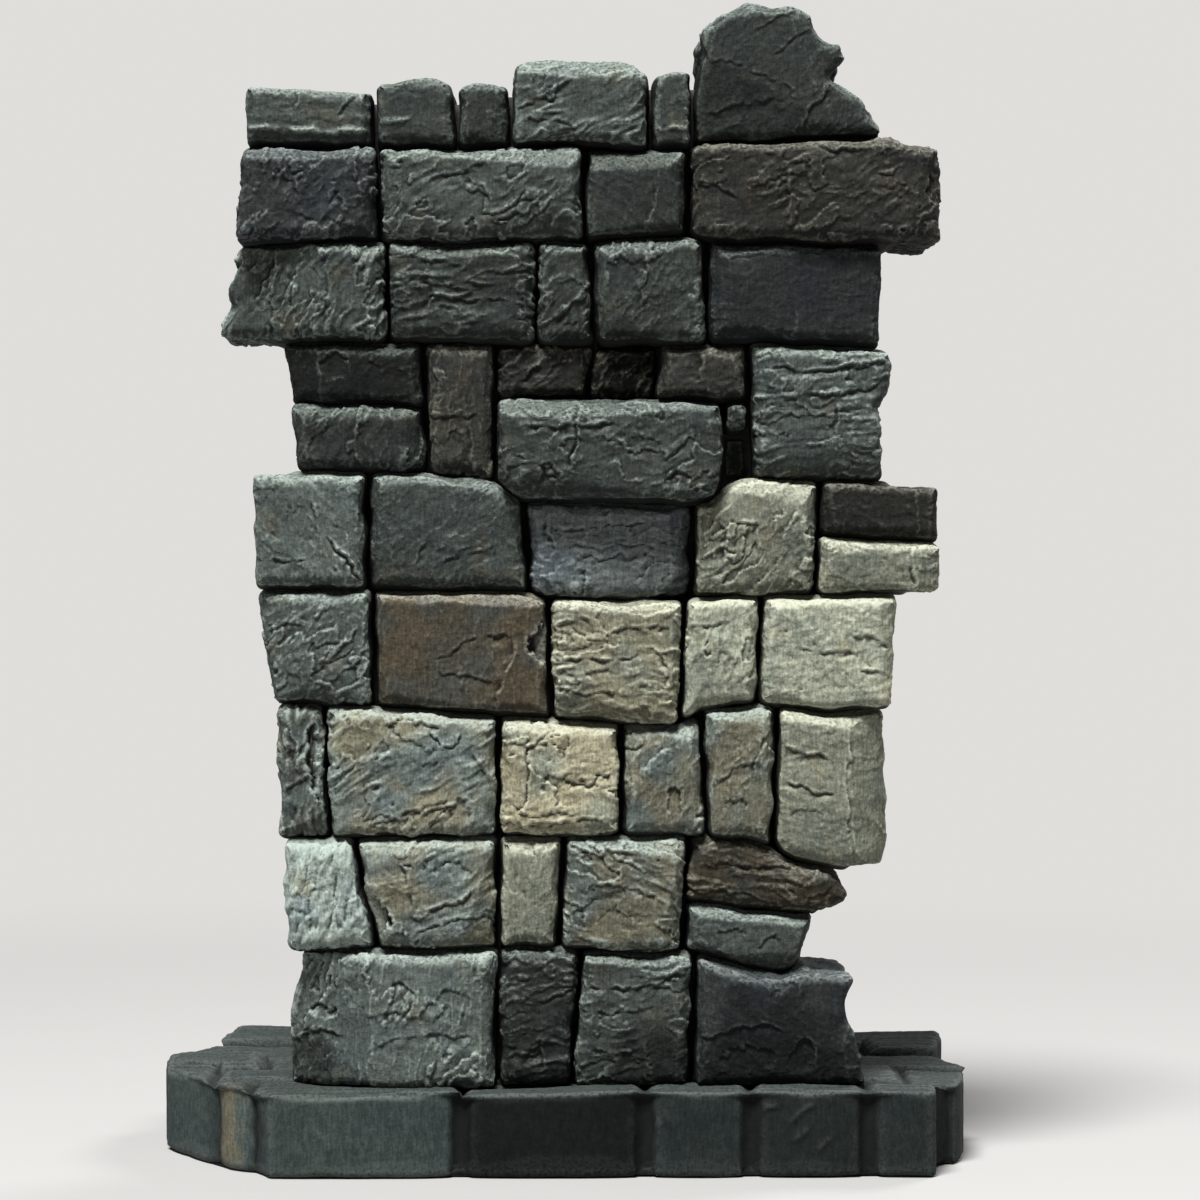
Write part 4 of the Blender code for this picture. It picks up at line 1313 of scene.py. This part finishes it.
def mortar_piece(name, outlines, seed):
    """A rough sheet of mortar through the middle of the wall, across its joints."""
    sides, filled = mortar_cells(outlines)
    flat = np.stack(np.meshgrid(*sides, indexing="ij"), -1).reshape(-1, 2)
    layers = [np.column_stack((flat, np.full(len(flat), depth))) for depth in MORTAR_DEPTHS]
    points = np.vstack(layers)
    points[:, 2] += MORTAR_ROUGH * noise(points / MORTAR_GRAIN, seed)
    number = np.arange(len(flat)).reshape(len(sides[0]), len(sides[1]))
    run, rise = np.nonzero(filled)
    near = np.column_stack([number[run + i, rise + k] for i, k in ((0, 0), (1, 0), (1, 1), (0, 1))])
    quads = [near, near[:, ::-1] + len(flat)]
    for corner, (i, k) in enumerate(((0, -1), (1, 0), (0, 1), (-1, 0))):
        start, end = near[~filled[run + i, rise + k]][:, (corner, (corner + 1) % 4)].T
        quads.append(np.column_stack((start, start + len(flat), end + len(flat), end)))
    spread = (flat - flat.min(0)) / np.ptp(flat, axis=0)
    spread = np.vstack((spread, spread))
    boxes = (FRONT_UV, BACK_UV, *[SIDE_UV] * 4)
    uv = np.vstack([into(spread[part], box) for part, box in zip(quads, boxes)])
    quads = np.vstack(quads)
    halves = ((0, 1, 2), (0, 2, 3))
    used, triangles = np.unique(np.vstack([quads[:, half] for half in halves]), return_inverse=True)
    uv = np.vstack([uv[:, half] for half in halves])
    return piece_of(name, points[used][:, (0, 2, 1)], triangles.reshape(-1, 3), uv, {})


# Materials

def linked(tree, kind, sockets, **settings):
    """A new node with its settings, and its inputs set or linked."""
    node = tree.nodes.new(kind)
    for key, value in settings.items():
        setattr(node, key, value)
    for key, value in sockets.items():
        if isinstance(value, bpy.types.NodeSocket):
            tree.links.new(value, node.inputs[key])
        else:
            node.inputs[key].default_value = value
    return node


def blotches(tree, place, size, detail, shift=0.0):
    """Noise whose blotches are about this many millimetres across."""
    sockets = {"Vector": place, "W": shift, "Scale": 1 / (size * MM), "Detail": detail}
    return linked(tree, "ShaderNodeTexNoise", sockets, noise_dimensions="4D").outputs["Fac"]


def stretch(tree, value, low, high, bottom=0.0, top=1.0):
    """A smooth step from bottom to top while the value goes from low to high."""
    made = linked(
        tree, "ShaderNodeMapRange",
        {"Value": value, "From Min": low, "From Max": high, "To Min": bottom, "To Max": top},
        interpolation_type="SMOOTHSTEP",
    )
    return made.outputs["Result"]


def speckled(tree, place, speckle, shift=0.0):
    """Speckles of one kind, from their bottom to their top."""
    fine = blotches(tree, place, speckle.size, speckle.detail, shift)
    return stretch(tree, fine, speckle.start, speckle.full, speckle.bottom, speckle.top)


def combined(tree, operation, first, second):
    """Two values combined by an operation of the maths node."""
    return linked(tree, "ShaderNodeMath", {0: first, 1: second}, operation=operation).outputs[0]


def times(tree, *values):
    """The product of values."""
    total = values[0]
    for value in values[1:]:
        total = combined(tree, "MULTIPLY", total, value)
    return total


def tinted(tree, share, under, over, blend="MIX"):
    """One colour over another by a share from 0 to 1."""
    sockets = {0: share, 6: under, 7: over}
    made = linked(tree, "ShaderNodeMix", sockets, data_type="RGBA", blend_type=blend)
    return made.outputs[2]


def attribute(tree, name):
    """A mark that the carving left on each point."""
    return linked(tree, "ShaderNodeAttribute", {}, attribute_name=name).outputs["Fac"]


def upward(tree):
    """How far a surface faces up, from -1 to 1."""
    normal = linked(tree, "ShaderNodeNewGeometry", {}).outputs["Normal"]
    return linked(tree, "ShaderNodeSeparateXYZ", {"Vector": normal}).outputs["Z"]


def new_material(name):
    """A new material, with its nodes, its shader and the place of a point on the object."""
    material = bpy.data.materials.new(name)
    material.use_nodes = True
    tree = material.node_tree
    place = linked(tree, "ShaderNodeTexCoord", {}).outputs["Object"]
    return material, tree, tree.nodes["Principled BSDF"], place


def stone_material(slot, paint):
    """Painted stone: patches, shades, a wash, a dry brush and dark joints, partly painted light and shade.
    """
    material, tree, shader, place = new_material(slot)
    # The lightness mark is partly each stone's own tone and partly painted light and shade
    raised, proud, shade = [attribute(tree, name) for name in ("raised", "proud", "shade")]
    up = upward(tree)
    shift = times(tree, attribute(tree, "tone"), COOL_SHIFT)
    cool = speckled(tree, place, COOL, shift)
    body = tinted(tree, cool, (*paint.body, 1), (*paint.cool, 1))
    rust = speckled(tree, place, WARM._replace(top=paint.rust), times(tree, shift, WARM_SHIFT))
    # Rust and stains, partly painted warm light
    warm = combined(tree, "MAXIMUM", rust, attribute(tree, "warmth"))
    body = tinted(tree, warm, body, (*paint.warm, 1))
    squeezed = linked(tree, "ShaderNodeVectorMath", {0: place, 1: STREAK_SQUEEZE}, operation="MULTIPLY")
    mottle, grain = speckled(tree, place, MOTTLE), speckled(tree, place, GRAIN)
    streak = speckled(tree, squeezed.outputs[0], STREAK)
    # Multiplied by the speckles, by the lightness mark and by the painted light and shade of facing up or
    # down
    for factor in (mottle, grain, streak, shade, stretch(tree, up, *UP_PAINTED_SHADE)):
        body = tinted(tree, 1.0, body, factor, "MULTIPLY")
    # Wash in the hollows, partly painted shade
    for mark, fade in ((proud, WIDE_WASH_AND_SHADE), (raised, CLOSE_WASH_AND_SHADE)):
        wash = times(tree, stretch(tree, mark, *fade), WASH_AND_SHADE_COVER)
        body = tinted(tree, wash, body, (*paint.wash, 1))
    # Speckled dry brush, fainter on darker stones, made a painted highlight where the surface faces up
    brush_speckle = times(tree, speckled(tree, place, BRUSH_SPECKLE), stretch(tree, shade, *BRUSH_BY_LIGHTNESS))
    lit = times(tree, brush_speckle, stretch(tree, up, *HIGHLIGHT_BY_UP))
    brushes = (
        times(tree, stretch(tree, raised, *RIDGE_BRUSH_AND_HIGHLIGHT), lit, RIDGE_COVER),
        times(tree, stretch(tree, proud, *ARRIS_BRUSH_AND_HIGHLIGHT), lit, ARRIS_COVER),
        # painted highlight on surfaces that face up
        times(tree, stretch(tree, up, *TOP_PAINTED_HIGHLIGHT), brush_speckle, TOP_HIGHLIGHT_COVER),
    )
    for brush in brushes:
        body = tinted(tree, brush, body, (*paint.brush, 1))
    # Painted shade in the joints and grooves, fainter where the surface faces up
    joint = times(tree, attribute(tree, "joint"), stretch(tree, up, *JOINT_SHADE_BY_UP))
    body = tinted(tree, joint, body, (*paint.wash, 1))
    tree.links.new(body, shader.inputs["Base Color"])
    tree.links.new(speckled(tree, place, ROUGHNESS), shader.inputs["Roughness"])
    shader.inputs["Specular IOR Level"].default_value = SPECULAR
    add_relief(tree, shader, blotches(tree, place, RELIEF_SIZE, STONE_DETAIL), STONE_RELIEF * paint.grain)
    return material


def add_relief(tree, shader, height, strength):
    """Gives a shader a fine relief."""
    sockets = {"Height": height, "Strength": strength, "Distance": RELIEF_DEPTH * MM}
    bump = linked(tree, "ShaderNodeBump", sockets)
    tree.links.new(bump.outputs["Normal"], shader.inputs["Normal"])


def plain_material(slot, colour, roughness, metallic=0.0):
    """One colour, a little uneven."""
    material, tree, shader, place = new_material(slot)
    body = tinted(tree, 1.0, (*colour, 1), speckled(tree, place, PLAIN_SHADE), "MULTIPLY")
    tree.links.new(body, shader.inputs["Base Color"])
    shader.inputs["Roughness"].default_value = roughness
    shader.inputs["Metallic"].default_value = metallic
    add_relief(tree, shader, blotches(tree, place, RELIEF_SIZE, PLAIN_DETAIL), PLAIN_RELIEF)
    return material


# Stage

def aimed(place, aim):
    """The turn of a camera or a lamp that looks from a place towards its aim."""
    return (Vector(aim) - Vector(place)).to_track_quat("-Z", "Y").to_euler()


def add_camera():
    camera = new_object("camera", bpy.data.cameras.new("camera"))
    camera.data.sensor_width = SENSOR
    camera.data.lens = LENS
    camera.location = Vector(CAMERA_AT) * MM
    camera.rotation_euler = aimed(CAMERA_AT, CAMERA_AIM)
    bpy.context.scene.camera = camera


def add_lamp(name, place, power):
    lamp = new_object(name, bpy.data.lights.new(name, "AREA"))
    lamp.data.shape = "DISK"
    lamp.data.size = LAMP_SIZE
    lamp.data.energy = power
    lamp.location = place
    lamp.rotation_euler = aimed(place, LAMP_AIM)


def add_floor():
    mesh = bpy.data.meshes.new("floor")
    shape = bmesh.new()
    bmesh.ops.create_circle(shape, cap_ends=True, segments=FLOOR_SIDES, radius=FLOOR_RADIUS)
    shape.to_mesh(mesh)
    shape.free()
    floor = new_object("floor", mesh)
    mesh.materials.append(floor_material())


def floor_material():
    """A pale floor that takes the object's shadow and runs out into the backdrop."""
    material, tree, shader, place = new_material("floor")
    shader.inputs["Base Color"].default_value = (*FLOOR_COLOUR, 1)
    shader.inputs["Roughness"].default_value = FLOOR_ROUGHNESS
    reach = linked(tree, "ShaderNodeVectorMath", {0: place}, operation="LENGTH").outputs["Value"]
    seen = linked(tree, "ShaderNodeLightPath", {}).outputs["Is Camera Ray"]
    far = times(tree, stretch(tree, reach, *FLOOR_FADE), seen)
    backdrop = linked(tree, "ShaderNodeEmission", {"Color": (*BACKDROP_COLOUR, 1)})
    mix = linked(
        tree, "ShaderNodeMixShader", {0: far, 1: shader.outputs["BSDF"], 2: backdrop.outputs["Emission"]}
    )
    tree.links.new(mix.outputs["Shader"], tree.nodes["Material Output"].inputs["Surface"])
    return material


def add_world():
    """Even light from all round, with a pale backdrop where the camera looks past the floor."""
    world = bpy.data.worlds.new("studio")
    bpy.context.scene.world = world
    world.use_nodes = True
    tree = world.node_tree
    background = tree.nodes["Background"]
    seen = linked(tree, "ShaderNodeLightPath", {}).outputs["Is Camera Ray"]
    background.inputs["Color"].default_value = (*BACKDROP_COLOUR, 1)
    strength = linked(tree, "ShaderNodeMapRange", {"Value": seen, "To Min": WORLD_LIGHT, "To Max": 1.0})
    tree.links.new(strength.outputs["Result"], background.inputs["Strength"])


def main():
    scene = bpy.context.scene
    scene.view_settings.view_transform = "Standard"
    add_camera()
    add_floor()
    add_world()
    add_lamp("key", KEY_PLACE, KEY_POWER)
    add_lamp("back", BACK_PLACE, BACK_POWER)
    slots = {item["slot"]: tuple(item["base_color"]) for item in frame["record"]["materials"]}
    finishes = {slot: stone_material(slot, paint) for slot, paint in PAINTS.items()}
    finishes["steel_pin"] = plain_material("steel_pin", slots["steel_pin"], PIN_ROUGHNESS, 1.0)
    finishes["mortar"] = plain_material("mortar", slots["mortar"], MORTAR_ROUGHNESS)
    outlines = {name: stone_outline(frame["nodes"][name]) for name in LOOKS}
    for count, part in enumerate(frame["record"]["subparts"]):
        seed = SEED_STEP * count
        node = frame["nodes"][part["node"]]
        finish = finishes[part["material_slot"]]
        if node.name in LOOKS:
            piece = carve_stone(node, outlines, seed)
        elif node.name == "flagstone_base":
            piece = carve_base(node, seed)
        elif node.name == "mortar_core":
            piece = mortar_piece(node.name + "_bed", outlines, seed)
        else:
            node.data.materials.clear()
            node.data.materials.append(finish)
            continue
        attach(piece, "root")
        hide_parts(node.name)
        piece.data.materials.append(finish)


main()
